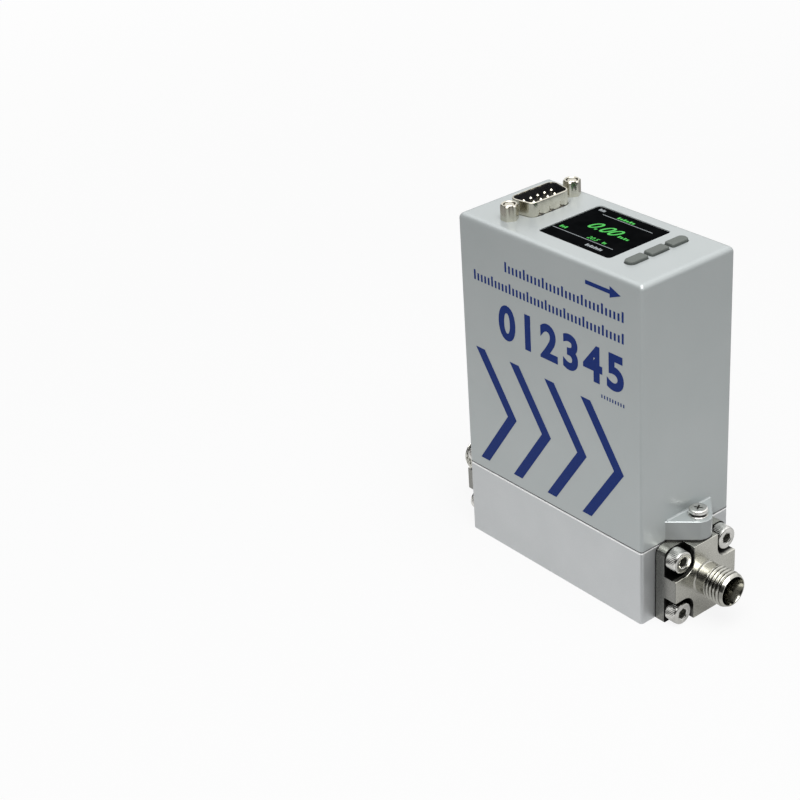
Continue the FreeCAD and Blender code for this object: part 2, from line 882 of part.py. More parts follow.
def add_lug(body, side):
    root = side * (half_length - s.wall / 2)
    face = side * half_length
    half = s.lug_width / 2
    lug = new_sketch(body, "XY_Plane", (0, 0, s.base_height + s.lug_gap))
    polygon(lug, [
        (root, s.deck_shift - half), (face, s.deck_shift - half), (face + side * half, s.deck_shift),
        (face, s.deck_shift + half), (root, s.deck_shift + half),
    ])
    pad(body, lug, s.lug_thickness)
    tip = face + side * half
    dress(body, "Fillet", s.lug_radius, lambda edge: straight(edge, 2) and lies_at(edge, 0, tip))
    dress(body, "Chamfer", s.lug_edge, lambda edge: is_lug_rim(edge, side))
    hole = new_sketch(body, "XY_Plane", (0, 0, lug_top))
    circle(hole, (face + side * s.lug_reach, s.deck_shift), s.small_radius + s.clear_gap)
    pocket(body, hole, s.lug_thickness)


def is_lug_rim(edge, side):
    """True for the lug's two straight flanks and round tip, along its top face."""
    outside = side * edge.CenterOfMass.x > half_length.value + TOLERANCE
    return lies_at(edge, 2, lug_top) and outside


def cut_window(body):
    centre = (s.window_centre, s.deck_shift)
    depth = s.window_recess + s.window_thickness
    recess = new_sketch(body, "XY_Plane", (0, 0, s.body_height))
    rectangle(recess, centre, s.window_length, s.window_width)
    pocket(body, recess, depth)
    floor = s.body_height - depth
    dress(body, "Fillet", s.window_radius, lambda edge: straight(edge, 2) and touches(edge, floor)
          and near(abs(edge.CenterOfMass.x - s.window_centre.value), s.window_length / 2))
    sight = new_sketch(body, "XY_Plane", (0, 0, floor))
    rectangle(sight, centre, sight_length, sight_width)
    pocket(body, sight, s.deck_thickness - depth)


def touches(edge, level):
    return any(near(vertex.Point.z, level) for vertex in edge.Vertexes)


def key_spot(row):
    return (half_length - s.key_inset, s.key_shift + KEY_ROWS[row] * s.key_pitch)


def round_key_corners(body, row, gap, levels):
    """Rounds a key's corners, or those of its opening: the outer end of the outer keys fully."""
    x, y = key_spot(row)
    half = s.key_length / 2 + gap
    outward = KEY_ROWS[row]

    def is_corner(edge, end):
        inside = near(abs(edge.CenterOfMass.x - x.value), s.key_width / 2 + gap)
        level = touches(edge, levels[0]) and touches(edge, levels[1])
        return straight(edge, 2) and inside and level and near(edge.CenterOfMass.y, y + end * half)

    for end in SIDES:
        radius = s.key_round if end == outward else s.key_corner
        dress(body, "Fillet", radius + gap, lambda edge: is_corner(edge, end))


def cut_key_openings(body):
    opening = new_sketch(body, "XY_Plane", (0, 0, s.body_height))
    for row in KEY_ROWS:
        rectangle(opening, key_spot(row), s.key_width + 2 * s.key_gap, s.key_length + 2 * s.key_gap)
    pocket(body, opening, s.deck_thickness)
    for row in KEY_ROWS:
        round_key_corners(body, row, s.key_gap, (deck_underside, s.body_height))


def shell_outline(sketch, grow):
    """The connector's D with round corners, its wide side towards the inlet, grown outwards all round."""
    reach = s.shell_width / 2 + grow
    middle = shell_length / 2 - s.shell_slant * s.shell_width / 2 + grow
    wide = middle + s.shell_slant * reach
    narrow = middle - s.shell_slant * reach
    x = connector_centre
    y = s.deck_shift
    corners = [(x - reach, y - wide), (x + reach, y - narrow), (x + reach, y + narrow), (x - reach, y + wide)]
    rounded_polygon(sketch, corners, s.shell_corner + grow)


def cut_connector_opening(body):
    opening = new_sketch(body, "XY_Plane", (0, 0, s.body_height))
    shell_outline(opening, s.clear_gap)
    pocket(body, opening, s.deck_thickness)
    holes = new_sketch(body, "XY_Plane", (0, 0, s.body_height))
    for spot in jack_spots:
        circle(holes, spot, s.jack_shank + s.clear_gap)
    pocket(body, holes, s.deck_thickness)


def make_housing_seal():
    body = new_body("housing_seal")
    ring = new_sketch(body, "XY_Plane")
    for inset in (s.wall / 2 - s.cover_seal_width / 2, s.wall / 2 + s.cover_seal_width / 2):
        rectangle(ring, (0, 0), s.body_length - 2 * inset, s.body_width - 2 * inset)
    pad(body, ring, s.cover_seal_depth)
    place(body, (0, 0, s.base_height - s.cover_seal_depth))
    node(body, "housing_seal")


def make_sensor_block():
    body = new_body("sensor_block")
    foot = new_sketch(body, "XY_Plane")
    rectangle(foot, (0, 0), s.sensor_length, sensor_width)
    pad(body, foot, s.sensor_height)
    dress(body, "Chamfer", s.sensor_edge, lambda edge: lies_at(edge, 2, s.sensor_height))
    cuts = (
        (s.sensor_bore, sensor_pitch, s.sensor_height),
        (s.capillary_radius, sensor_pitch, s.capillary_socket),
        (s.small_radius + s.clear_gap, sensor_screw_pitch, s.sensor_height),
    )
    for radius, pitch, depth in cuts:
        holes = new_sketch(body, "XY_Plane", (0, 0, s.sensor_height))
        for side in SIDES:
            circle(holes, (side * pitch / 2, 0), radius)
        pocket(body, holes, depth)
    seats = new_sketch(body, "XY_Plane")
    for side in SIDES:
        circle(seats, (side * sensor_pitch / 2, 0), s.port_seal_centre + s.port_seal_section)
    pocket(body, seats, 2 * s.port_seal_section, back=True)
    place(body, (0, 0, s.base_height))
    node(body, "sensor_block")


def make_sensor_parts():
    """Everything that sits on the sensor block."""
    radii = {"Radius1": s.port_seal_centre, "Radius2": s.port_seal_section}
    seal = primitive("Torus", "port_seal", radii, (0, 0, 0))
    level = s.base_height + s.port_seal_section
    copies("sensor_seals", seal, [(side * sensor_pitch / 2, 0, level) for side in SIDES])
    screw = make_cap_screw("sensor_screw", s.small_radius, s.sensor_height + s.sensor_thread, s.small_head,
                           s.small_head_height, s.small_socket, s.small_socket_depth)
    copies("sensor_screws", screw, [(side * sensor_screw_pitch / 2, 0, sensor_top) for side in SIDES])
    make_sensor_tube()
    coil = make_washer("winding", s.winding_radius, s.capillary_radius, s.winding_length)
    run = sensor_top + s.capillary_rise
    starts = (-s.winding_gap / 2 - s.winding_length, s.winding_gap / 2)
    copies("sensor_windings", coil, [(start, 0, run) for start in starts], ((0, 1, 0), 90))
    can = new_body("sensor_cover")
    outline = new_sketch(can, "XY_Plane")
    rectangle(outline, (0, 0), can_length, can_width)
    pad(can, outline, s.can_height)
    dress(can, "Fillet", s.can_radius, lambda edge: straight(edge, 2) or lies_at(edge, 2, s.can_height))
    inside = new_sketch(can, "XY_Plane")
    rectangle(inside, (0, 0), can_length - 2 * s.can_wall, can_width - 2 * s.can_wall)
    pocket(can, inside, s.can_height - s.can_wall, back=True)
    place(can, (0, 0, sensor_top))
    node(can, "sensor_cover")
    plug = new_body("sensor_header")
    block = new_sketch(plug, "XY_Plane")
    can_face = can_width / 2
    rectangle(block, (0, (board_front + can_face) / 2), s.plug_length, board_front - can_face)
    pad(plug, block, s.plug_height)
    place(plug, (0, 0, sensor_top + s.plug_above))
    node(plug, "sensor_header")


def make_sensor_tube():
    """Thin U of tube between the two ports, swept along a path with round bends."""
    body = new_body("sensor_tube")
    reach = sensor_pitch / 2
    start = -s.capillary_socket
    run = s.capillary_rise
    bend = s.capillary_bend
    legs = [
        ((-reach, start), (-reach, run - bend)),
        ((bend - reach, run), (reach - bend, run)),
        ((reach, run - bend), (reach, start)),
    ]
    bends = [(bend - reach, run - bend), (reach - bend, run - bend)]
    path = new_sketch(body, "XZ_Plane")
    for index, leg in enumerate(legs):
        path.addGeometry(Part.LineSegment(*[flat_point(spot) for spot in leg]), False)
        if index < len(bends):
            first, last = flat_point(leg[1]), flat_point(legs[index + 1][0])
            centre = flat_point(bends[index])
            outward = (first + last - centre * 2).normalize()
            path.addGeometry(Part.Arc(last, centre + outward * bend.value, first), False)
    for index, leg in enumerate(legs):
        hold_point(path, 2 * index, 1, leg[0])
        hold_point(path, 2 * index, 2, leg[1])
    for arc in (1, 3):
        path.addConstraint(Sketcher.Constraint("Tangent", arc - 1, 2, arc, 2))
        path.addConstraint(Sketcher.Constraint("Coincident", arc + 1, 1, arc, 1))
    ring = new_sketch(body, "XY_Plane", (-reach, 0, start))
    circle(ring, (0, 0), s.capillary_radius)
    circle(ring, (0, 0), s.sensor_bore)
    pipe = body.newObject("PartDesign::AdditivePipe", "capillary")
    pipe.Profile = ring
    pipe.Spine = (path, [""])
    settle(body, pipe, 0.0, True)
    place(body, (0, 0, sensor_top))
    node(body, "sensor_tube")


def flat_point(spot):
    x, y = spot
    return V(size(x).value, size(y).value, 0)


def make_bracket():
    """Folded sheet that stands on the base and carries the main board."""
    body = new_body("board_bracket")
    back = bracket_back
    front = back - s.bracket_thickness
    toe = front - s.bracket_foot
    sole = s.base_height
    top = board_top - s.bracket_drop
    profile = new_sketch(body, "YZ_Plane", (0, 0, -s.bracket_length / 2))
    polygon(profile, [
        (toe, sole), (back, sole), (back, top), (front, top),
        (front, sole + s.bracket_thickness), (toe, sole + s.bracket_thickness),
    ])
    pad(body, profile, s.bracket_length)
    dress(body, "Fillet", s.bracket_bend, lambda edge: straight(edge, 0) and lies_at(edge, 1, front)
          and lies_at(edge, 2, sole + s.bracket_thickness))
    sight = new_sketch(body, "XZ_Plane", (0, 0, -back))
    rectangle(sight, (0, board_middle), s.bracket_window_along, s.bracket_window_upright)
    for spot in board_holes:
        circle(sight, spot, s.small_radius)
    pocket(body, sight, s.bracket_thickness, back=True)
    feet = new_sketch(body, "XY_Plane", (0, 0, sole + s.bracket_thickness))
    for side in SIDES:
        circle(feet, (side * s.foot_screw_along / 2, bracket_screw_row), s.small_radius + s.clear_gap)
    pocket(body, feet, s.bracket_thickness)
    node(body, "board_bracket")
    short = make_pan_screw("bracket_screw", s.small_radius, s.bracket_thickness + s.tapped_depth - s.tail_gap,
                           s.pan_head, s.pan_height)
    level = sole + s.bracket_thickness
    spots = [(side * s.foot_screw_along / 2, bracket_screw_row, level) for side in SIDES]
    copies("bracket_screws", short, spots)


def make_main_board():
    body = new_body("main_board")
    outline = new_sketch(body, "XZ_Plane", (0, 0, -board_back))
    rectangle(outline, (0, board_middle), s.board_length, board_top - board_bottom)
    for spot in board_holes:
        circle(outline, spot, s.small_radius + s.clear_gap)
    pad(body, outline, s.board_thickness)
    node(body, "main_board")
    sleeve = make_washer("board_spacer", s.spacer_radius, s.small_radius + s.clear_gap, s.spacer_length)
    copies("board_spacers", sleeve, [(x, board_back, z) for x, z in board_holes], ((1, 0, 0), -90))
    length = s.board_thickness + s.spacer_length + s.bracket_thickness
    screw = make_pan_screw("board_screw", s.small_radius, length, s.pan_head, s.pan_height)
    copies("board_screws", screw, [(x, board_front, z) for x, z in board_holes], ((1, 0, 0), 90))
    make_chips()
    header = new_body("board_header")
    block = new_sketch(header, "YZ_Plane", (0, 0, -s.header_length / 2))
    middle = (board_front - s.header_width / 2, deck_board_underside - header_height / 2)
    rectangle(block, middle, s.header_width, header_height)
    pad(header, block, s.header_length)
    node(header, "board_header")


def make_chips():
    """Processor, memory and supply chips with two capacitors on the board's front."""
    group = []
    for name, (x, drop, length, width) in CHIPS.items():
        chip = new_body(name)
        outline = new_sketch(chip, "XZ_Plane", (0, 0, -board_front))
        centre = (x, board_middle + hole_rise - drop)
        rectangle(outline, centre, length * s.chip_side, width * s.chip_side)
        pad(chip, outline, s.chip_height)
        dress(chip, "Chamfer", s.chip_edge, lambda edge: lies_at(edge, 1, board_front - s.chip_height))
        group.append(chip)
    for name, x in CAPACITORS.items():
        spot = (x, board_front, board_middle - hole_rise + s.capacitor_rise)
        can = {"Radius": s.capacitor_radius, "Height": s.capacitor_height}
        group.append(primitive("Cylinder", name, can, spot, ((1, 0, 0), 90)))
    compound = doc.addObject("Part::Compound", "board_chips")
    compound.Links = group
    node(compound, "board_chips")


def make_deck_board():
    """Board under the deck that carries the connector, the display and the switches."""
    body = new_body("deck_board")
    outline = new_sketch(body, "XY_Plane", (0, 0, deck_board_underside))
    length = s.body_length - 2 * (s.wall + s.deck_board_end_gap)
    width = s.body_width - 2 * (s.wall + s.deck_board_side_gap)
    rectangle(outline, (0, 0), length, width)
    for spot in boss_spots:
        circle(outline, spot, s.boss_drill + s.clear_gap)
    for spot in pin_spots:
        circle(outline, spot, s.pin_radius)
    pad(body, outline, s.board_thickness)
    node(body, "deck_board")
    reach = s.board_thickness + s.boss_screw_length - s.clear_gap
    screw = make_pan_screw("boss_screw", s.boss_drill, reach, s.boss_head, s.boss_head_height)
    spots = [(x, y, deck_board_underside) for x, y in boss_spots]
    copies("deck_board_screws", screw, spots, ((1, 0, 0), 180))


def make_display():
    """Backlight on the deck board, glass standing in the sight opening, and the window over both."""
    centre = (s.window_centre, s.deck_shift)
    window_top = s.body_height - s.window_recess
    window_bottom = window_top - s.window_thickness
    glass_bottom = window_bottom - s.display_glass
    window = (s.window_length, s.window_width)
    layers = (
        ("display_backlight", deck_board_top, glass_bottom, *window, s.display_margin),
        ("display_glass", glass_bottom, window_bottom, sight_length, sight_width, s.display_margin),
        ("display_window", window_bottom, window_top, *window, s.fit_gap),
    )
    for label, bottom, top, along, across, gap in layers:
        body = new_body(label)
        outline = new_sketch(body, "XY_Plane", (0, 0, bottom))
        rectangle(outline, centre, along - 2 * gap, across - 2 * gap)
        pad(body, outline, top - bottom)
        dress(body, "Fillet", s.window_radius, lambda edge: straight(edge, 2))
        node(body, label)


def make_connector():
    make_shell()
    body = new_body("connector_insulator")
    block = new_sketch(body, "XY_Plane", (0, 0, deck_board_top))
    length = shell_length + 2 * s.insulator_lap
    rectangle(block, (connector_centre, s.deck_shift), s.insulator_width, length)
    pad(body, block, ear_bottom - deck_board_top)
    nose = new_sketch(body, "XY_Plane", (0, 0, ear_bottom))
    shell_outline(nose, -s.shell_wall)
    nose_top = s.body_height + s.insulator_rise
    pad(body, nose, nose_top - ear_bottom)
    holes = new_sketch(body, "XY_Plane", (0, 0, nose_top))
    for spot in pin_spots:
        circle(holes, spot, s.pin_radius)
    pocket(body, holes, nose_top - deck_board_top)
    node(body, "connector_insulator")
    make_pins()
    make_jackscrews()


def make_shell():
    """Stamped shell: a plate with two ears under the deck, and the D that rises through it."""
    body = new_body("connector_shell")
    rim = s.body_height + s.shell_rise
    plate = new_sketch(body, "XY_Plane", (0, 0, ear_bottom))
    rectangle(plate, (connector_centre, s.deck_shift), s.ear_width, ear_length)
    pad(body, plate, s.ear_thickness)
    dress(body, "Fillet", s.ear_corner, lambda edge: straight(edge, 2))
    tower = new_sketch(body, "XY_Plane", (0, 0, deck_underside))
    shell_outline(tower, 0)
    pad(body, tower, rim - deck_underside)
    dress(body, "Fillet", s.shell_lip, lambda edge: lies_at(edge, 2, rim))
    hollow = new_sketch(body, "XY_Plane", (0, 0, rim))
    shell_outline(hollow, -s.shell_wall)
    pocket(body, hollow, rim - ear_bottom)
    holes = new_sketch(body, "XY_Plane", (0, 0, deck_underside))
    for spot in jack_spots:
        circle(holes, spot, s.jack_shank + s.clear_gap)
    pocket(body, holes, s.ear_thickness)
    cut_dimples(body)
    node(body, "connector_shell")


def cut_dimples(body):
    """Three small dents low on the shell's narrow side."""
    face = connector_centre + s.shell_width / 2
    dents = new_sketch(body, "XY_Plane", (0, 0, s.body_height))
    for row in (-1, 0, 1):
        centre = (face + s.dimple_radius - s.dimple_depth, s.deck_shift + row * s.dimple_pitch)
        circle(dents, centre, s.dimple_radius)
    pocket(body, dents, s.dimple_height, back=True)


def make_pins():
    pin = new_body("connector_pin")
    bottom = deck_board_underside - s.pin_tail
    top = s.body_height + s.pin_rise
    profile = new_sketch(pin, "XZ_Plane")
    polygon(profile, [
        (0, 0), (s.pin_radius, 0), (s.pin_radius, top - bottom - s.pin_tip),
        (s.pin_radius - s.pin_tip, top - bottom), (0, top - bottom),
    ])
    turn(pin, profile, "V_Axis")
    copies("connector_pins", pin, [(x, y, bottom) for x, y in pin_spots])


def make_jackscrews():
    body = new_body("jackscrew")
    head = new_sketch(body, "XY_Plane")
    hexagon(head, s.jack_across_flats)
    pad(body, head, s.jack_height)
    corner = s.jack_across_flats * FLAT_TO_CORNER / 2
    bevel = new_sketch(body, "XZ_Plane")
    polygon(bevel, [
        (corner - s.jack_chamfer, s.jack_height), (corner + s.jack_chamfer, s.jack_height),
        (corner + s.jack_chamfer, s.jack_height - s.jack_chamfer),
    ])
    groove(body, bevel, "V_Axis")
    thread = new_sketch(body, "XY_Plane", (0, 0, s.jack_height))
    circle(thread, (0, 0), s.jack_thread)
    pocket(body, thread, s.jack_thread_depth)
    shank = new_sketch(body, "XY_Plane")
    circle(shank, (0, 0), s.jack_shank)
    pad(body, shank, s.deck_thickness + s.ear_thickness + s.nut_height, back=True)
    copies("jackscrews", body, [(x, y, s.body_height) for x, y in jack_spots])
    nut = new_body("jackscrew_nut")
    outline = new_sketch(nut, "XY_Plane")
    hexagon(outline, s.nut_across_flats)
    circle(outline, (0, 0), s.jack_shank)
    pad(nut, outline, s.nut_height)
    copies("jackscrew_nuts", nut, [(x, y, ear_bottom - s.nut_height) for x, y in jack_spots])


def make_key(row):
    """Rubber key: a cap through the deck, a flange that stays under it and a stem for its switch."""
    x, y = key_spot(row)
    top = s.body_height + s.key_proud
    flange_bottom = deck_underside - s.key_flange_height
    body = new_body("key_" + row)
    cap = new_sketch(body, "XY_Plane", (0, 0, deck_underside))
    rectangle(cap, (x, y), s.key_width, s.key_length)
    pad(body, cap, top - deck_underside)
    round_key_corners(body, row, size(0), (deck_underside, top))
    dress(body, "Fillet", s.key_edge, lambda edge: lies_at(edge, 2, top))
    flange = new_sketch(body, "XY_Plane", (0, 0, deck_underside))
    rectangle(flange, (x, y), s.key_flange_width, s.key_flange_length)
    pad(body, flange, s.key_flange_height, back=True)
    stem = new_sketch(body, "XY_Plane", (0, 0, flange_bottom))
    circle(stem, (x, y), s.key_stem_radius)
    pad(body, stem, s.key_stem_length, back=True)
    node(body, "key_" + row)
    rod = {"Radius": s.plunger_radius, "Height": s.plunger_length}
    plunger = primitive("Cylinder", "plunger_" + row, rod, (x, y, plunger_bottom))
    node(plunger, "plunger_" + row)


def make_switches():
    """Switch bodies, each with a well that its plunger never bottoms in."""
    body = new_body("switch")
    outline = new_sketch(body, "XY_Plane")
    rectangle(outline, (0, 0), s.switch_width, s.switch_length)
    pad(body, outline, s.switch_height)
    well = new_sketch(body, "XY_Plane", (0, 0, s.switch_height))
    circle(well, (0, 0), s.plunger_radius + s.fit_gap)
    pocket(body, well, deck_board_top + s.switch_height - plunger_bottom + s.key_travel + s.clear_gap)
    copies("switch_bodies", body, [(*key_spot(row), deck_board_top) for row in KEY_ROWS])


def make_print():
    """Four blue chevrons that point along the flow, a thin layer of paint on the front."""
    body = new_body("chevron_print")
    bottom = s.base_height + s.chevron_rise
    top = bottom + s.chevron_height
    middle = (top + bottom) / 2
    mark = new_sketch(body, "XZ_Plane", (0, 0, half_width))
    for index in range(CHEVRONS):
        x = s.chevron_inset - half_length + index * s.chevron_pitch
        inner = x + s.chevron_length - s.chevron_stroke
        polygon(mark, [
            (x, top), (x + s.chevron_stroke, top), (x + s.chevron_length, middle),
            (x + s.chevron_stroke, bottom), (x, bottom), (inner, middle),
        ])
    pad(body, mark, s.print_thickness)
    node(body, "chevron_print")


board_back = board_front + s.board_thickness
bracket_back = board_back + s.spacer_length + s.bracket_thickness
bracket_screw_row = bracket_back - s.bracket_thickness - s.bracket_foot / 2
board_middle = (board_bottom + board_top) / 2
hole_rise = (board_top - board_bottom) / 2 - s.board_hole_inset
board_holes = [(x * s.board_hole_along / 2, board_middle + z * hole_rise) for x, z in CORNERS]
header_height = deck_board_underside - board_top + s.header_overlap
boss_x = half_length - s.boss_end_inset
boss_y = half_width - s.boss_side_inset
boss_spots = [(x * boss_x, y * boss_y) for x, y in CORNERS]
jack_spots = [(connector_centre, s.deck_shift + side * jack_pitch / 2) for side in SIDES]
ear_bottom = deck_underside - s.ear_thickness
pin_spots = []
for pin_side, pin_count in ((-1, FIRST_ROW_PIN_COUNT), (1, SECOND_ROW_PIN_COUNT)):
    pin_x = connector_centre + pin_side * s.pin_rows / 2
    for pin_index in range(pin_count):
        pin_y = s.deck_shift + (pin_index - (pin_count - 1) / 2) * s.pin_pitch
        pin_spots.append((pin_x, pin_y))


def check_and_write():
    """Stops at a failed object or an unsound solid, then writes each node's file."""
    doc.recompute()
    for thing in doc.Objects:
        if "Invalid" in thing.State or "Error" in thing.State:
            raise RuntimeError("%s failed" % thing.Label)
    os.makedirs("parts", exist_ok=True)
    for thing in nodes:
        if thing.Shape.isNull() or not thing.Shape.isValid() or not thing.Shape.Solids:
            raise RuntimeError("%s is not a sound solid" % thing.Label)
    for thing in nodes:
        thing.Shape.exportStep("parts/%s.step" % thing.Label)


make_base()
for flange_name, flange_side in FLANGE_SIDES.items():
    make_flange(flange_name, flange_side)
    make_flange_seal(flange_name, flange_side)
make_flow_parts()
make_end_screws()
make_housing()
make_housing_seal()
make_sensor_block()
make_sensor_parts()
make_bracket()
make_main_board()
make_deck_board()
make_display()
make_connector()
for key_row in KEY_ROWS:
    make_key(key_row)
make_switches()
make_print()
check_and_write()
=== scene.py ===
import json
import math

import bmesh
import bpy
from mathutils import Matrix, Vector

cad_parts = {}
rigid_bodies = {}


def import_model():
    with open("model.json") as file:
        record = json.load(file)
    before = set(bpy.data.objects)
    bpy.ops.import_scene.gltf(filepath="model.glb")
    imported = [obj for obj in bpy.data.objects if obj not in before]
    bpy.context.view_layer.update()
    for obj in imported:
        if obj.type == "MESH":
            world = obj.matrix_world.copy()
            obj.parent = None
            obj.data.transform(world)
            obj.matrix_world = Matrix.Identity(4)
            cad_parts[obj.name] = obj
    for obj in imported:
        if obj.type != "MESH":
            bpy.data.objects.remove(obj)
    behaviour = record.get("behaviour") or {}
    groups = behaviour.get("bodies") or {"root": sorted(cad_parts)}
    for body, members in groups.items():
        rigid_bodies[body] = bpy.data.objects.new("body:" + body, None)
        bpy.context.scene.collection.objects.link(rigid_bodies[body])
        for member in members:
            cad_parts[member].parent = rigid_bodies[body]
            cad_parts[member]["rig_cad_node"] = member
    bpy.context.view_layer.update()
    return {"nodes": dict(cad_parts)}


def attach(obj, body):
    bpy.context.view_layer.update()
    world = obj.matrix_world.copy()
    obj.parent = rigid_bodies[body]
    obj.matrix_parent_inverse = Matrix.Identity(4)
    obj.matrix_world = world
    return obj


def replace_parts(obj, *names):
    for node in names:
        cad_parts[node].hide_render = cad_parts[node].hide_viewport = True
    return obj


# Gas flow meter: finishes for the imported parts, and the turned, knurled and printed pieces.
# Everything is in metres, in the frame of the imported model. The front is -Y, gas flows along +X.

print("loading the frame")
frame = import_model()
nodes = frame["nodes"]
mm = 0.001


# Shader maths

class Wire:
    # an output socket; arithmetic on it adds Math nodes
    def __init__(self, finish, socket):
        self.finish = finish
        self.socket = socket

    def math(self, operation, first, second=None):
        inputs = {0: first} if second is None else {0: first, 1: second}
        return self.finish.node("ShaderNodeMath", {"operation": operation}, inputs)

    def __add__(self, other):
        return self.math("ADD", self, other)

    def __radd__(self, other):
        return self.math("ADD", other, self)

    def __sub__(self, other):
        return self.math("SUBTRACT", self, other)

    def __rsub__(self, other):
        return self.math("SUBTRACT", other, self)

    def __mul__(self, other):
        return self.math("MULTIPLY", self, other)

    def __rmul__(self, other):
        return self.math("MULTIPLY", other, self)

    def __gt__(self, other):
        return self.math("GREATER_THAN", self, other)

    def __lt__(self, other):
        return self.math("LESS_THAN", self, other)

    def __abs__(self):
        return self.math("ABSOLUTE", self)


class Finish:
    # a material, or the world, with one method that adds any node
    def __init__(self, owner):
        self.owner = owner
        owner.use_nodes = True
        self.tree = owner.node_tree

    def node(self, kind, settings=None, inputs=None, output=0):
        made = self.tree.nodes.new(kind)
        for key, value in (settings or {}).items():
            if key == "stops":
                self.setStops(made.color_ramp, value)
            else:
                setattr(made, key, value)
        for key, value in (inputs or {}).items():
            self.feed(made.inputs[key], value)
        return Wire(self, made.outputs[output])

    def setStops(self, ramp, stops):
        while len(ramp.elements) > 1:
            ramp.elements.remove(ramp.elements[-1])
        for index, (place, shade) in enumerate(stops):
            element = ramp.elements[0] if index == 0 else ramp.elements.new(place)
            element.position = place
            element.color = shade if len(shade) == 4 else (*shade, 1)

    def feed(self, socket, value):
        if isinstance(value, Wire):
            self.tree.links.new(value.socket, socket)
        elif isinstance(value, tuple) and len(value) == 3 and socket.type == "RGBA":
            socket.default_value = (*value, 1)
        else:
            socket.default_value = value

    def place(self, scale=(1, 1, 1), shift=(0, 0, 0), turn=(0, 0, 0)):
        spot = self.node("ShaderNodeTexCoord", output="Object")
        return self.node("ShaderNodeMapping", {}, {"Vector": spot, "Scale": scale, "Location": shift,
                                                   "Rotation": turn})

    def noise(self, spot, size, detail=3, rough=0.5):
        # size is that of the features, in metres
        return self.node("ShaderNodeTexNoise", {}, {"Vector": spot, "Scale": 1 / size, "Detail": detail,
                                                    "Roughness": rough})

    def axis(self, vector, index):
        return self.node("ShaderNodeSeparateXYZ", {}, {"Vector": vector}, index)

    def length(self, vector):
        return self.node("ShaderNodeVectorMath", {"operation": "LENGTH"}, {0: vector}, 1)

    def mix(self, factor, first, second):
        return self.node("ShaderNodeMix", {"data_type": "RGBA", "clamp_factor": True},
                         {0: factor, 6: first, 7: second}, 2)

    def span(self, value, low, high, start, end):
        return self.node("ShaderNodeMapRange", {}, {"Value": value, "From Min": low, "From Max": high,
                                                    "To Min": start, "To Max": end})

    def bump(self, height, depth, strength=1.0):
        # depth is in metres
        return self.node("ShaderNodeBump", {}, {"Height": height, "Distance": depth, "Strength": strength})

    def surface(self, **values):
        shader = self.tree.nodes["Principled BSDF"]
        for key, value in values.items():
            self.feed(shader.inputs[shaderInputs[key]], value)
        return self.owner


shaderInputs = {"color": "Base Color", "metallic": "Metallic", "roughness": "Roughness", "normal": "Normal",
                "ior": "IOR", "specular": "Specular IOR Level", "clear": "Transmission Weight",
                "glow": "Emission Color", "glowStrength": "Emission Strength"}


def newFinish(name):
    return Finish(bpy.data.materials.new(name))


def shade(red, green, blue):
    # a colour from its 0 to 255 screen values
    def linear(value):
        value = value / 255
        return value / 12.92 if value <= 0.04045 else ((value + 0.055) / 1.055) ** 2.4
    return (linear(red), linear(green), linear(blue))


# Finishes, one for each slot of the record

# the lug colour is painted shade for the sides of the lugs
paintLook = {"color": shade(180, 185, 185), "dark": shade(173, 179, 179), "roughness": (0.30, 0.40),
             "metallic": 0.30, "grain": 0.16 * mm, "cloud": 22 * mm, "peel": 0.9 * mm,
             "lug": shade(154, 158, 158), "lugStart": 37.65 * mm, "lugTop": 31.45 * mm}


def greyPaint():
    # the sides of the lugs get a darker colour than the rest of the cover: painted shade
    f = newFinish("greyPaint")
    spot = f.place()
    cloud = f.noise(spot, paintLook["cloud"], 2)
    grain = f.noise(spot, paintLook["grain"], 2, 0.6)
    peel = f.noise(spot, paintLook["peel"], 2)
    tone = f.span(cloud * 0.5 + grain * 0.5, 0.3, 0.7, 0, 1)
    low, high = paintLook["roughness"]
    height = peel * 0.6 + grain * 0.4
    # painted shade: below their top, the lugs take the darker lug colour
    lug = abs(f.axis(spot, 0)) > paintLook["lugStart"]
    lug = lug * (f.axis(spot, 2) < paintLook["lugTop"])
    plain = f.mix(tone, paintLook["dark"], paintLook["color"])
    return f.surface(color=f.mix(lug, plain, paintLook["lug"]), metallic=paintLook["metallic"],
                     roughness=f.span(grain, 0.3, 0.7, low, high),
                     normal=f.bump(height, 0.012 * mm))


# the rim colour is a painted highlight along the top band of the block and its chamfer
baseLook = {"color": shade(205, 207, 208), "dark": shade(194, 197, 198), "roughness": (0.36, 0.48),
            "metallic": 0.70, "grain": 0.22 * mm, "cloud": 14 * mm, "rim": 24.3 * mm, "chamfer": 24.6 * mm,
            "rimHighlight": shade(252, 252, 252)}


def machinedAluminium():
    # the topmost band of the block and its chamfer are painted near white: a painted highlight
    f = newFinish("machinedAluminium")
    spot = f.place()
    cloud = f.noise(spot, baseLook["cloud"], 2)
    grain = f.noise(spot, baseLook["grain"], 3, 0.65)
    low, high = baseLook["roughness"]
    level = f.axis(spot, 2)
    # painted highlight: the top band turns near white and fully metallic, its chamfer near white and not
    # metallic
    rim, chamfer = level > baseLook["rim"], level > baseLook["chamfer"]
    plain = f.mix(f.span(grain * 0.7 + cloud * 0.3, 0.35, 0.65, 0, 1), baseLook["dark"], baseLook["color"])
    return f.surface(color=f.mix(rim, plain, baseLook["rimHighlight"]),
                     metallic=baseLook["metallic"] + rim * (1 - baseLook["metallic"]) - chamfer,
                     roughness=f.span(grain, 0.3, 0.7, low, high), normal=f.bump(grain, 0.014 * mm))
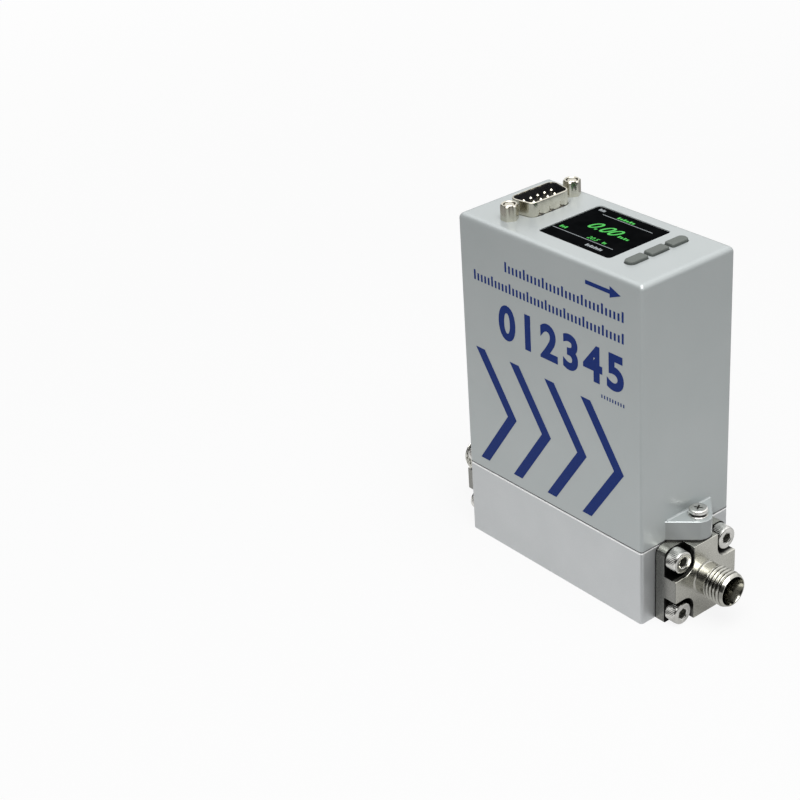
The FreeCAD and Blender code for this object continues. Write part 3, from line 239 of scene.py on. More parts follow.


# the seat, joint, inside, sides and groove colours are painted shade
steelLook = {"color": shade(210, 209, 201), "dark": shade(192, 191, 183), "roughness": (0.20, 0.32),
             "turned": (0.12, 0.20), "face": 45.9 * mm, "cloud": 9 * mm, "lay": 0.12 * mm, "cut": 0.13 * mm,
             "cutDepth": 0.014 * mm, "seat": shade(22, 22, 21), "seatBox": (41.2, 45.4, 4.9, 3.7),
             "seatRough": 0.3, "axis": 12.5 * mm, "mouth": 4.62 * mm, "mouthRough": 0.12,
             "streaks": 0.006 * mm, "streak": 0.9 * mm, "inside": shade(150, 149, 142),
             "sides": shade(138, 138, 134), "sideways": 0.8, "joint": 37.95 * mm,
             "thread": (49.3 * mm, 55.2 * mm), "groove": (4.88 * mm, 5.25 * mm), "grooveShade": shade(60, 59, 54)}


def machinedSteel():
    # ground flanges with painted shade: near black in the screw seats and along the joint at the cover,
    # darker on the sides;
    # beyond the block's face, the fittings are turned and brighter, with painted shade in the grooves and a
    # darker mouth
    look = steelLook
    f = newFinish("machinedSteel")
    lay = f.noise(f.place((1, 1, 0.12)), look["lay"], 2)
    cuts = f.noise(f.place((1, 0.03, 0.03)), look["cut"], 2)
    cloud = f.noise(f.place(), look["cloud"], 2)
    spot = f.place()
    along = abs(f.axis(spot, 0))
    across = abs(f.axis(spot, 1))
    upright = abs(f.axis(spot, 2) - look["axis"])
    turned = along > look["face"]
    axial = f.noise(f.place((0.02, 1, 1)), look["streak"], 2)
    out = f.length(f.node("ShaderNodeVectorMath", {"operation": "MULTIPLY_ADD"},
                          {0: spot, 1: (0, 1, 1), 2: (0, 0, -look["axis"])}))
    # painted shade: the mouth mask darkens the bore with the inside colour
    mouth = (out < look["mouth"]) * turned
    start, end, wide, high = look["seatBox"]
    # painted shadow: near black in the seats round the flange screws
    seat = (along > start * mm) * f.span(along, (end - 1.2) * mm, end * mm, 1, 0)
    seat = seat * (across > wide * mm) * (upright > high * mm)
    ground = f.span(lay, 0.3, 0.7, *look["roughness"])
    bright = f.span(lay, 0.3, 0.7, *look["turned"])
    plain = f.mix(f.span(cloud * 0.6 + lay * 0.4, 0.35, 0.65, 0, 1), look["dark"], look["color"])
    height = ((turned - mouth) * cuts * (look["cutDepth"] / mm) + (1 - turned) * lay * 0.004
              + mouth * axial * (look["streaks"] / mm))
    facing = f.node("ShaderNodeNewGeometry", output="Normal")
    # painted shade: faces of the block turned towards -Y or +Y take the darker side colour
    sides = (abs(f.axis(facing, 1)) > look["sideways"]) * (1 - turned)
    start, end = look["thread"]
    # painted shade: darker towards the roots of the thread
    groove = (along > start) * (along < end) * f.span(out, *look["groove"], 1, 0) * (1 - mouth)
    plain = f.mix(groove, f.mix(mouth, f.mix(sides, plain, look["sides"]), look["inside"]), look["grooveShade"])
    # painted shadow: the same near black along the joint where the flange meets the cover
    seat = f.node("ShaderNodeMath", {"operation": "MAXIMUM"}, {0: seat, 1: along < look["joint"]})
    return f.surface(color=f.mix(seat, plain, look["seat"]), metallic=1.0,
                     roughness=(turned - mouth) * bright + (1 - turned) * ground + seat * look["seatRough"]
                     + mouth * look["mouthRough"], normal=f.bump(height, mm))


def brightMetal(name, light, dark, roughness, ring=0.09 * mm, depth=0.004 * mm):
    # plated or turned metal with fine tool marks
    f = newFinish(name)
    marks = f.noise(f.place(), ring, 2)
    cloud = f.noise(f.place(), 3 * mm, 2)
    low, high = roughness
    return f.surface(color=f.mix(f.span(cloud, 0.35, 0.65, 0, 1), dark, light), metallic=1.0,
                     roughness=f.span(marks, 0.3, 0.7, low, high), normal=f.bump(marks, depth))


# the colour is painted shade inside the screw sockets and recesses
socketLook = {"color": shade(150, 150, 145), "face": 44.9 * mm, "radius": 1.85 * mm, "across": 9.2 * mm,
              "upright": 9.0 * mm, "axis": 12.5 * mm, "lug": (-41.4 * mm, -1.05 * mm, 0), "recess": 1.8 * mm,
              "floor": 32.3 * mm, "edge": 34.03 * mm, "rough": 0.15, "start": 40 * mm, "lugs": 31 * mm,
              "lugSmooth": 0.08}


def brightSteel():
    # screws with painted shade: darker in the sockets of the flange screws and the recesses of the lug screws
    look = socketLook
    f = newFinish("brightSteel")
    marks = f.noise(f.place(), 0.09 * mm, 2)
    cloud = f.noise(f.place(), 3 * mm, 2)
    spot = f.place()
    along = abs(f.axis(spot, 0))
    across = abs(f.axis(spot, 1)) - look["across"]
    upright = abs(f.axis(spot, 2) - look["axis"]) - look["upright"]
    reach = f.node("ShaderNodeCombineXYZ", {}, {0: across, 1: upright, 2: 0.0})
    out = f.length(reach)
    # painted shade: the socket colour fills the hexagon sockets of the flange screws
    inside = (out < look["radius"]) * (along < look["face"]) * (along > look["start"])
    level = f.axis(spot, 2)
    beside, behind = along + look["lug"][0], f.axis(spot, 1) + look["lug"][1]
    reach = f.node("ShaderNodeCombineXYZ", {}, {0: beside, 1: behind, 2: 0.0})
    out = f.length(reach)
    # painted shade: and the cross recesses of the lug screws
    inside = inside + (out < look["recess"]) * (level > look["floor"]) * (level < look["edge"])
    lug = level > look["lugs"]
    plain = f.mix(f.span(cloud, 0.35, 0.65, 0, 1), shade(216, 215, 210), shade(232, 231, 227))
    return f.surface(color=f.mix(inside, plain, look["color"]), metallic=1.0,
                     roughness=f.span(marks, 0.3, 0.7, 0.16, 0.28) + inside * look["rough"]
                     - lug * look["lugSmooth"],
                     normal=f.bump(marks, 0.006 * mm))


def plainStuff(name, light, dark, roughness, size=0.3 * mm, depth=0.01 * mm, metallic=0.0, specular=0.5):
    # rubber, plastic, laminate or print with a fine uneven surface
    f = newFinish(name)
    grain = f.noise(f.place(), size, 3, 0.6)
    low, high = roughness
    return f.surface(color=f.mix(f.span(grain, 0.35, 0.65, 0, 1), dark, light), metallic=metallic,
                     specular=specular, roughness=f.span(grain, 0.3, 0.7, low, high),
                     normal=f.bump(grain, depth))


def clearWindow():
    f = newFinish("windowClear")
    haze = f.noise(f.place(), 6 * mm, 2)
    return f.surface(color=(1.0, 1.0, 1.0), clear=1.0, ior=1.49, roughness=f.span(haze, 0.3, 0.7, 0.0, 0.04))


def glowing(name, light, strength, cell=0.35 * mm):
    # lit dots of the display, a little uneven across each pixel
    f = newFinish(name)
    dots = f.noise(f.place(), cell, 1)
    level = f.span(dots, 0.3, 0.7, 0.0, 1.0)
    dim = tuple(part * 0.65 for part in light)
    return f.surface(color=(0.005, 0.005, 0.005), glow=f.mix(level, dim, light), glowStrength=strength,
                     roughness=0.5)


print("mixing the finishes")
finishes = {
    "grey_paint": greyPaint(),
    "machined_aluminium": machinedAluminium(),
    "machined_steel": machinedSteel(),
    "bright_steel": brightSteel(),
    "nickel_plate": brightMetal("nickelPlate", shade(222, 218, 205), shade(205, 201, 187), (0.14, 0.26)),
    "pin_metal": brightMetal("pinMetal", shade(240, 236, 222), shade(226, 220, 200), (0.10, 0.20)),
    "sheet_steel": brightMetal("sheetSteel", shade(205, 205, 202), shade(188, 188, 185), (0.30, 0.42),
                               0.2 * mm),
    "winding_copper": brightMetal("windingCopper", shade(214, 140, 90), shade(176, 104, 62), (0.25, 0.38)),
    "seal_rubber": plainStuff("sealRubber", shade(46, 46, 46), shade(34, 34, 34), (0.55, 0.70)),
    "black_plastic": plainStuff("blackPlastic", shade(34, 34, 35), shade(24, 24, 25), (0.42, 0.58)),
    "board_laminate": plainStuff("boardLaminate", shade(34, 92, 56), shade(26, 74, 44), (0.35, 0.50)),
    "display_black": plainStuff("displayBlack", shade(13, 14, 15), shade(8, 9, 10), (0.06, 0.12), 4 * mm, 0.0,
                                specular=0.0),
    "key_rubber": plainStuff("keyRubber", shade(98, 103, 99), shade(80, 85, 81), (0.50, 0.66), 0.25 * mm),
    "blue_print": plainStuff("bluePrint", shade(26, 50, 118), shade(20, 42, 104), (0.34, 0.46), 0.4 * mm,
                             0.004 * mm, specular=0.08),
    "window_clear": clearWindow(),
}
greenGlow = glowing("greenGlow", (0.03, 0.62, 0.05), 1.0)
whiteGlow = glowing("whiteGlow", (0.42, 0.46, 0.48), 1.0)


def paint(piece, slot, finish=None):
    piece.data.materials.clear()
    piece.data.materials.append(finish or finishes[slot])
    "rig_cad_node" not in piece
    return piece


slotOf = {name: piece.data.materials[0].name.split(".")[0] for name, piece in nodes.items()}
for name, piece in nodes.items():
    slot = slotOf[name]
    piece.data.materials.clear()
    piece.data.materials.append(finishes[slot])


# Tools for making pieces

def clearSelection():
    if bpy.context.mode != "OBJECT":
        bpy.ops.object.mode_set(mode="OBJECT")
    bpy.ops.object.select_all(action="DESELECT")


def choose(piece):
    clearSelection()
    piece.select_set(True)
    bpy.context.view_layer.objects.active = piece
    return piece


def settle(piece, name, body="meter", angle=30, flatten=False):
    # leaves the piece at the origin with its place in its mesh, and lets it ride
    choose(piece)
    piece.name = piece.data.name = name
    bpy.ops.object.transform_apply(location=True, rotation=True, scale=True)
    if flatten:
        bpy.ops.object.mode_set(mode="EDIT")
        bpy.ops.mesh.select_all(action="SELECT")
        bpy.ops.mesh.dissolve_limited(angle_limit=math.radians(0.1))
        bpy.ops.object.mode_set(mode="OBJECT")
    bpy.ops.object.shade_smooth_by_angle(angle=math.radians(angle))
    if flatten:
        bpy.ops.object.modifier_add(type="WEIGHTED_NORMAL")
        piece.modifiers[-1].keep_sharp = True
        bpy.ops.object.modifier_apply(modifier=piece.modifiers[-1].name)
    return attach(piece, body)


def bevelled(piece, width, angle=30, segments=2):
    # breaks the sharp edges of a merged copy
    choose(piece)
    bpy.ops.object.mode_set(mode="EDIT")
    bpy.ops.mesh.select_all(action="SELECT")
    bpy.ops.mesh.dissolve_limited(angle_limit=math.radians(0.1))
    bpy.ops.object.mode_set(mode="OBJECT")
    bpy.ops.object.modifier_add(type="BEVEL")
    modifier = piece.modifiers[-1]
    modifier.width = width
    modifier.segments = segments
    modifier.limit_method = "ANGLE"
    modifier.angle_limit = math.radians(angle)
    modifier.use_clamp_overlap = False
    bpy.ops.object.modifier_apply(modifier=modifier.name)
    return piece


def meshCopy(node, name):
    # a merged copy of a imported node's mesh
    piece = bpy.data.objects.new(name, nodes[node].data.copy())
    bpy.context.scene.collection.objects.link(piece)
    choose(piece)
    bpy.ops.object.mode_set(mode="EDIT")
    bpy.ops.mesh.select_all(action="SELECT")
    bpy.ops.mesh.remove_doubles(threshold=1e-6)
    bpy.ops.object.mode_set(mode="OBJECT")
    return piece


def spun(name, points, centre, axis, steps=96):
    # a chain of edges drawn from point to point, then spun around the axis
    clearSelection()
    bpy.ops.mesh.primitive_plane_add(size=mm, location=points[0])
    piece = bpy.context.object
    piece.name = name
    bpy.ops.object.mode_set(mode="EDIT")
    bpy.ops.mesh.merge(type="CENTER")
    for here, there in zip(points, points[1:]):
        bpy.ops.mesh.extrude_region_move(TRANSFORM_OT_translate={"value": there - here})
    bpy.ops.mesh.select_all(action="SELECT")
    bpy.ops.mesh.spin(steps=steps, angle=math.tau, center=centre, axis=axis)
    mend(piece)
    return piece


def mend(piece, gap=0.001 * mm):
    # merges doubles and turns every face outwards
    choose(piece)
    bpy.ops.object.mode_set(mode="EDIT")
    bpy.ops.mesh.select_all(action="SELECT")
    bpy.ops.mesh.remove_doubles(threshold=gap)
    bpy.ops.mesh.normals_make_consistent(inside=False)
    bpy.ops.object.mode_set(mode="OBJECT")


def joined(pieces):
    choose(pieces[0])
    for piece in pieces[1:]:
        piece.select_set(True)
    bpy.ops.object.join()
    return pieces[0]


def another(piece, move=(0, 0, 0), turn=None):
    # a copy with its own mesh, turned and then moved
    twin = piece.copy()
    twin.data = piece.data.copy()
    bpy.context.scene.collection.objects.link(twin)
    twin.data.transform(Matrix.Translation(move) @ (turn or Matrix()))
    return twin


# Flanges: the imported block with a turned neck, thread and mouth

fittingLook = {"height": 12.5 * mm, "cut": 46.05 * mm, "start": 46.35 * mm, "neck": 5.0 * mm,
               "shoulder": 49.0 * mm, "tip": 56.4 * mm, "crest": 5.52 * mm, "root": 4.84 * mm,
               "pitch": 1.27 * mm, "chamfer": 0.7 * mm,
               "lead": 1.4 * mm, "rim": 0.10 * mm, "mouth": 4.55 * mm, "mouthDepth": 4.0 * mm,
               "socket": 3.2 * mm, "socketEnd": 47.4 * mm, "bore": 2.4 * mm, "rows": 115,
               "rootFlat": 0.14, "crestFlat": 0.84, "ramp": 0.45, "edge": 0.25 * mm}


def threadRadius(along, angle):
    look = fittingLook
    phase = (along / look["pitch"] - angle / math.tau) % 1.0
    ridge = 1 - abs(2 * phase - 1)
    rise = (ridge - look["rootFlat"]) / (look["crestFlat"] - look["rootFlat"])
    radius = look["root"] + (look["crest"] - look["root"]) * min(max(rise, 0.0), 1.0)
    shoulder = look["neck"] + look["ramp"] * (along - look["shoulder"])
    point = look["crest"] - look["chamfer"] + (look["tip"] - along) * look["chamfer"] / look["lead"]
    return min(radius, max(shoulder, look["neck"]), point)


def turnedFitting(name, side):
    look = fittingLook
    rim = look["rim"]
    profile = [(look["start"], look["bore"]), (look["socketEnd"], look["bore"]),
               (look["socketEnd"], look["socket"]), (look["tip"] - look["mouthDepth"], look["socket"]),
               (look["tip"] - rim, look["mouth"] - rim / 3),
               (look["tip"] - rim / 3, look["mouth"]), (look["tip"], look["mouth"] + rim)]
    length = look["tip"] - look["shoulder"]
    for row in range(look["rows"] + 1):
        profile.append((look["tip"] - length * row / look["rows"], look["crest"]))
    profile += [(look["shoulder"], look["neck"]), (look["start"], look["neck"])]
    points = [Vector((side * along, 0, look["height"] + out)) for along, out in profile]
    piece = spun(name, points, (0, 0, look["height"]), (1, 0, 0))
    choose(piece)
    bpy.ops.object.transform_apply(location=True, rotation=True, scale=True)
    for spot in piece.data.vertices:
        along, across, up = side * spot.co.x, side * spot.co.y, spot.co.z - look["height"]
        out = math.hypot(across, up)
        if out > look["crest"] - 0.01 * mm:
            scale = threadRadius(along, math.atan2(up, across)) / out
            spot.co.y *= scale
            spot.co.z = look["height"] + up * scale
    mend(piece)
    return piece


def bridgeRings(piece, inner):
    # closes the gap between the block's ring and the fitting's, outside or in the bore
    look = fittingLook
    half = (look["neck"] + look["bore"]) / 2
    choose(piece)
    bpy.ops.object.mode_set(mode="EDIT")
    bpy.ops.mesh.select_mode(type="EDGE")
    bpy.ops.mesh.select_all(action="DESELECT")
    bpy.ops.mesh.select_non_manifold()
    mesh = bmesh.from_edit_mesh(piece.data)
    for edge in mesh.edges:
        middle = (edge.verts[0].co + edge.verts[1].co) / 2
        out = math.hypot(middle.y, middle.z - look["height"])
        if edge.select and (out < half) != inner:
            edge.select_set(False)
    bmesh.update_edit_mesh(piece.data)
    bpy.ops.mesh.bridge_edge_loops()
    bpy.ops.mesh.select_mode(type="VERT")
    bpy.ops.object.mode_set(mode="OBJECT")


def threadedFlange(name, node, side):
    look = fittingLook
    block = meshCopy(node, name)
    bpy.ops.object.mode_set(mode="EDIT")
    bpy.ops.mesh.select_all(action="SELECT")
    bpy.ops.object.mode_set(mode="OBJECT")
    bevelled(block, look["edge"])
    bpy.ops.object.mode_set(mode="EDIT")
    bpy.ops.mesh.select_all(action="SELECT")
    bpy.ops.mesh.bisect(plane_co=(side * look["cut"], 0, 0), plane_no=(side, 0, 0), clear_outer=True)
    bpy.ops.object.mode_set(mode="OBJECT")
    flange = joined([block, turnedFitting(name + "Fitting", side)])
    bridgeRings(flange, False)
    bridgeRings(flange, True)
    mend(flange)
    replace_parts(paint(settle(flange, name, flatten=True), "machined_steel"), node)
    return flange


print("flanges and fittings")
outletFlange = threadedFlange("outletFlange", "outlet_flange", 1)
inletFlange = threadedFlange("inletFlange", "inlet_flange", -1)


# Flange screws: knurled heads with a hexagon socket

capLook = {"seat": 41.5 * mm, "across": 9.2 * mm, "upright": 9.0 * mm, "length": 12.0 * mm, "shank": 2.0 * mm,
           "head": 3.5 * mm, "headHeight": 4.0 * mm, "flat": 3.0 * mm, "depth": 2.2 * mm, "knurl": 0.11 * mm,
           "edge": 0.42 * mm, "steps": 96}


def capScrew():
    # drawn at the origin with its head towards +X
    look = capLook
    top, edge = look["headHeight"], look["edge"]
    corner = look["flat"] / 2 / math.cos(math.pi / 6)
    profile = [(-look["length"], 0), (-look["length"], look["shank"] - edge),
               (-look["length"] + edge, look["shank"]),
               (0, look["shank"]), (0, look["head"] - edge / 2), (edge / 3, look["head"]),
               (top - 1.9 * edge, look["head"]), (top - 1.5 * edge, look["head"] * 0.985),
               (top - 0.45 * edge, look["head"] - 0.35 * edge),
               (top - 0.12 * edge, look["head"] - 0.7 * edge), (top, look["head"] - 1.2 * edge),
               (top, corner + 0.22 * mm), (top - 0.16 * mm, corner + 0.02 * mm),
               (top - 0.20 * mm, corner), (top - look["depth"], corner), (top - look["depth"] - 0.5 * mm, 0)]
    points = [Vector((along, 0, out)) for along, out in profile]
    screw = spun("capScrew", points, (0, 0, 0), (1, 0, 0), look["steps"])
    bpy.ops.object.transform_apply(location=True, rotation=True, scale=True)
    for spot in screw.data.vertices:
        out = math.hypot(spot.co.y, spot.co.z)
        angle = math.atan2(spot.co.z, spot.co.y)
        scale = 1.0
        if abs(out - corner) < 0.001 * mm:
            scale = math.cos(math.pi / 6) / math.cos((angle % (math.pi / 3)) - math.pi / 6)
        if abs(out - look["head"]) < 0.001 * mm and round(angle / math.tau * look["steps"]) % 2:
            scale = 1 - look["knurl"] / out
        spot.co.y *= scale
        spot.co.z *= scale
    return screw


def flangeScrews(name, node, side, screw):
    look = capLook
    pieces = []
    for index, (across, upright) in enumerate(((-1, -1), (-1, 1), (1, -1), (1, 1))):
        turn = Matrix.Rotation(math.pi if side < 0 else 0, 4, "Z")
        turn = turn @ Matrix.Rotation(0.35 + index * 0.8, 4, "X")
        place = (side * look["seat"], across * look["across"],
                 fittingLook["height"] + upright * look["upright"])
        pieces.append(another(screw, place, turn))
    screws = joined(pieces)
    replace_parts(paint(settle(screws, name), "bright_steel"), node)


print("flange screws")
screwPattern = capScrew()
flangeScrews("outletScrews", "outlet_flange_screws", 1, screwPattern)
flangeScrews("inletScrews", "inlet_flange_screws", -1, screwPattern)
bpy.data.objects.remove(screwPattern)


# Lug screws: a flat cross head over a lock washer painted black as the shadow in the gap under the head, and
# a bright washer

lugLook = {"spots": [(41.4 * mm, 1.05 * mm), (-41.4 * mm, 1.05 * mm)], "top": 31.7 * mm, "washer": 2.95 * mm,
           "washerHeight": 0.4 * mm, "lock": 2.35 * mm, "lockHeight": 0.5 * mm, "head": 2.8 * mm,
           "headHeight": 1.5 * mm,
           "edge": 0.28 * mm, "shank": 1.4 * mm, "length": 8.0 * mm, "recess": 1.2 * mm, "cross": 1.75 * mm,
           "slot": 0.36 * mm, "turns": (0.5, 1.1)}


def upright(name, outline, steps=64):
    # a turned piece on the Z axis from its outline of (radius, height)
    points = [Vector((out, 0, height)) for out, height in outline]
    piece = spun(name, points, (0, 0, 0), (0, 0, 1), steps)
    choose(piece)
    bpy.ops.object.transform_apply(location=True, rotation=True, scale=True)
    return piece


def crossHead():
    look = lugLook
    bottom, edge = look["washerHeight"] + look["lockHeight"], look["edge"]
    top = bottom + look["headHeight"]
    head = upright("crossHead", [
        (0, bottom - look["length"]), (look["shank"] - edge, bottom - look["length"]),
        (look["shank"], bottom - look["length"] + edge), (look["shank"], bottom),
        (look["head"] - 0.45 * mm, bottom), (look["head"], bottom + 0.35 * mm),
        (look["head"], top - 1.7 * edge), (look["head"] - 0.35 * edge, top - 0.75 * edge),
        (look["head"] - 1.0 * edge, top - 0.25 * edge), (look["head"] - 2.2 * edge, top), (0, top)])
    for turn in (0, math.pi / 2):
        clearSelection()
        bpy.ops.mesh.primitive_cube_add(size=1, location=(0, 0, top))
        cutter = bpy.context.object
        cutter.scale = (2 * look["cross"], 2 * look["slot"], 2 * look["recess"])
        cutter.rotation_euler = (0, 0, turn)
        bpy.ops.object.transform_apply(location=True, rotation=True, scale=True)
        bpy.ops.object.mode_set(mode="EDIT")
        mesh = bmesh.from_edit_mesh(cutter.data)
        for spot in mesh.verts:
            if spot.co.z < top:
                spot.co.x *= 0.45
                spot.co.y *= 0.45
        bmesh.update_edit_mesh(cutter.data)
        carve(head, cutter)
    return head


def carve(piece, cutter):
    # takes the cutter out of the piece
    choose(piece)
    bpy.ops.object.modifier_add(type="BOOLEAN")
    modifier = piece.modifiers[-1]
    modifier.operation = "DIFFERENCE"
    modifier.solver = "EXACT"
    modifier.object = cutter
    bpy.ops.object.modifier_apply(modifier=modifier.name)
    bpy.data.objects.remove(cutter)


def ring(name, inner, outer, low, high, edge):
    return upright(name, [(inner, low), (outer - edge, low), (outer, low + edge), (outer, high - edge),
                          (outer - edge, high), (inner, high), (inner, low)])


def lugHardware():
    look = lugLook
    washer, lock = look["washerHeight"], look["lockHeight"]
    patterns = [("lugScrews", "lug_screws", "bright_steel", crossHead()),
                ("lugWashers", "lug_washers", "bright_steel",
                 ring("washer", 1.6 * mm, look["washer"], 0, washer, 0.13 * mm)),
                ("lugLocks", "lug_lock_washers", "bright_steel",
                 ring("lock", 1.6 * mm, look["lock"], washer, washer + lock, 0.05 * mm))]
    for name, node, slot, pattern in patterns:
        pieces = []
        for (x, y), turn in zip(look["spots"], look["turns"]):
            pieces.append(another(pattern, (x, y, look["top"]), Matrix.Rotation(turn, 4, "Z")))
        bpy.data.objects.remove(pattern)
        # painted shadow: the lock washers take the black plastic finish for the dark gap under each head
        finish = finishes["black_plastic"] if name == "lugLocks" else None
        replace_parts(paint(settle(joined(pieces), name), slot, finish), node)


print("lug screws")
lugHardware()


# Jackscrews: hexagon posts with a threaded stud in the top

jackLook = {"spots": [(-22.3 * mm, -11.45 * mm), (-22.3 * mm, 13.55 * mm)], "base": 110 * mm,
            "flats": 4.75 * mm,
            "height": 4.8 * mm, "edge": 0.28 * mm, "hole": 1.78 * mm, "stud": 1.48 * mm, "depth": 1.4 * mm,
            "sunk": 0.12 * mm, "shank": 1.4 * mm, "tail": 4.0 * mm, "steps": 72, "turn": 0.0}


def hexPost():
    look = jackLook
    height, edge = look["height"], look["edge"]
    corner = look["flats"] / 2 / math.cos(math.pi / 6)
    post = upright("hexPost", [
        (0, -look["tail"]), (look["shank"], -look["tail"]), (look["shank"], 0), (corner, 0),
        (corner, height - edge), (look["flats"] / 2 - 0.05 * mm, height), (look["hole"] + 0.12 * mm, height),
        (look["hole"], height - 0.12 * mm), (look["hole"], height - look["depth"]),
        (look["stud"], height - look["depth"]), (look["stud"], height - look["sunk"] - 0.2 * mm),
        (look["stud"] - 0.25 * mm, height - look["sunk"]), (0, height - look["sunk"] - 0.05 * mm)],
        look["steps"])
    for spot in post.data.vertices:
        out = math.hypot(spot.co.x, spot.co.y)
        if out > look["flats"] / 2 - 0.01 * mm:
            angle = math.atan2(spot.co.y, spot.co.x) + look["turn"]
            flat = look["flats"] / 2 / math.cos((angle % (math.pi / 3)) - math.pi / 6)
            scale = min(flat / out, 1.0)
            spot.co.x *= scale
            spot.co.y *= scale
    return post


def jackPosts():
    look = jackLook
    pattern = hexPost()
    posts = joined([another(pattern, (x, y, look["base"])) for x, y in look["spots"]])
    bpy.data.objects.remove(pattern)
    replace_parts(paint(settle(posts, "jackPosts"), "nickel_plate"), "jackscrews")


print("jackscrews")
jackPosts()


# Plug: a black lining inside the imported shell as painted shade on its inner walls, and black plates as
# painted shadow in the gaps under its dents

plugLook = {"centre": (-22.3 * mm, 1.05 * mm), "floor": 110.3 * mm, "rim": 114.1 * mm, "wall": 0.07 * mm,
            "lowest": 105 * mm, "face": -17.75 * mm, "dents": 4.2 * mm, "gap": 1.35 * mm,
            "deep": 0.75 * mm, "deck": 110 * mm}


def plugInnerShade():
    # painted shade: a thin black skin over the inner walls of the shell, which are metal
    look = plugLook
    lining = meshCopy("connector_shell", "plugInnerShade")
    middle = Vector((*look["centre"], 0))
    bpy.ops.object.mode_set(mode="EDIT")
    bpy.ops.mesh.select_mode(type="FACE")
    bpy.ops.mesh.select_all(action="DESELECT")
    mesh = bmesh.from_edit_mesh(lining.data)
    for face in mesh.faces:
        away = face.calc_center_median() - middle
        away.z = 0
        tall = min(spot.co.z for spot in face.verts) < look["floor"]
        tall = tall and face.calc_center_median().z > look["lowest"]
        face.select_set(not (abs(face.normal.z) < 0.05 and face.normal.dot(away) < 0 and tall))
    bmesh.update_edit_mesh(lining.data)
    bpy.ops.mesh.delete(type="FACE")
    bpy.ops.mesh.select_mode(type="VERT")
    bpy.ops.object.mode_set(mode="OBJECT")
    bpy.ops.object.modifier_add(type="SOLIDIFY")
    lining.modifiers[-1].thickness = look["wall"]
    lining.modifiers[-1].offset = 1.0
    bpy.ops.object.modifier_apply(modifier=lining.modifiers[-1].name)
    for spot in lining.data.vertices:
        spot.co.z = min(spot.co.z, look["rim"])
    paint(settle(lining, "plugInnerShade"), "black_plastic")


def dentGapShade():
    # painted shadow: thin black half discs on the deck where the gaps under the dents are
    look = plugLook
    pieces = []
    for row in (-1, 0, 1):
        y = look["centre"][1] + row * look["dents"]
        outline = []
        for step in range(13):
            angle = math.pi * (step / 12 - 0.5)
            outline.append((look["face"] - 0.2 * mm + look["deep"] * math.cos(angle),
                            y + look["gap"] * math.sin(angle), look["deck"] + 0.005 * mm))
        pieces.append(plate("gap", outline, (0, 0, 0.03 * mm)))
    paint(settle(joined(pieces), "dentGapShade"), "black_plastic")


# Housing: the imported cover with its deck rims broken, thin black skins as painted shadow in the joint at
# its foot and under its lugs, and a seam along each lug

coverLook = {"edge": 0.22 * mm, "seam": 0.55 * mm, "face": 37.5 * mm, "low": 31.7 * mm, "centre": 1.05 * mm,
             "half": 9.25 * mm, "deck": 110 * mm, "skin": 0.03 * mm,
             "strips": [(25.02 * mm, 25.24 * mm, False), (25.21 * mm, 25.55 * mm, True)]}


def cover():
    # the rims of the window and the other openings in the deck catch the light
    look = coverLook
    piece = meshCopy("housing", "cover")
    bpy.ops.object.mode_set(mode="EDIT")
    bpy.ops.mesh.select_all(action="SELECT")
    bpy.ops.mesh.dissolve_limited(angle_limit=math.radians(0.1))
    bpy.ops.mesh.select_mode(type="EDGE")
    bpy.ops.mesh.select_all(action="DESELECT")
    mesh = bmesh.from_edit_mesh(piece.data)
    for edge in mesh.edges:
        level = min(spot.co.z for spot in edge.verts) > look["deck"] - 0.01 * mm
        edge.select_set(level and edge.calc_face_angle(0) > 1.2)
    bmesh.update_edit_mesh(piece.data)
    bpy.ops.mesh.bevel(offset=look["edge"], segments=2, affect="EDGES", clamp_overlap=False)
    bpy.ops.mesh.select_mode(type="VERT")
    bpy.ops.object.mode_set(mode="OBJECT")
    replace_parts(paint(settle(piece, "cover", flatten=True), "grey_paint"), "housing")


def footShadowStrip(low, high, lug):
    # a slice of the cover's outer wall, or of its lugs, given a thin dark skin: a painted shadow line
    piece = meshCopy("housing", "footShadowStrip")
    bpy.ops.object.mode_set(mode="EDIT")
    for level, way in ((low, -1), (high, 1)):
        bpy.ops.mesh.select_all(action="SELECT")
        bpy.ops.mesh.bisect(plane_co=(0, 0, level), plane_no=(0, 0, way), clear_outer=True)
    bpy.ops.mesh.select_mode(type="FACE")
    bpy.ops.mesh.select_all(action="DESELECT")
    mesh = bmesh.from_edit_mesh(piece.data)
    for face in mesh.faces:
        middle = face.calc_center_median()
        away = face.normal.x * middle.x + face.normal.y * middle.y
        beyond = abs(middle.x) > coverLook["face"] + 0.1 * mm
        face.select_set(not (abs(face.normal.z) < 0.05 and away > 0 and beyond == lug))
    bmesh.update_edit_mesh(piece.data)
    bpy.ops.mesh.delete(type="FACE")
    bpy.ops.mesh.select_mode(type="VERT")
    bpy.ops.object.mode_set(mode="OBJECT")
    bpy.ops.object.modifier_add(type="SOLIDIFY")
    piece.modifiers[-1].thickness = coverLook["skin"]
    piece.modifiers[-1].offset = 1.0
    bpy.ops.object.modifier_apply(modifier=piece.modifiers[-1].name)
    return piece


def footShadows():
    # painted shadow: the black skins stand where the cover meets the base and where the lugs sit over the
    # flanges
    strips = [footShadowStrip(*look) for look in coverLook["strips"]]
    paint(settle(joined(strips), "footShadows"), "black_plastic")


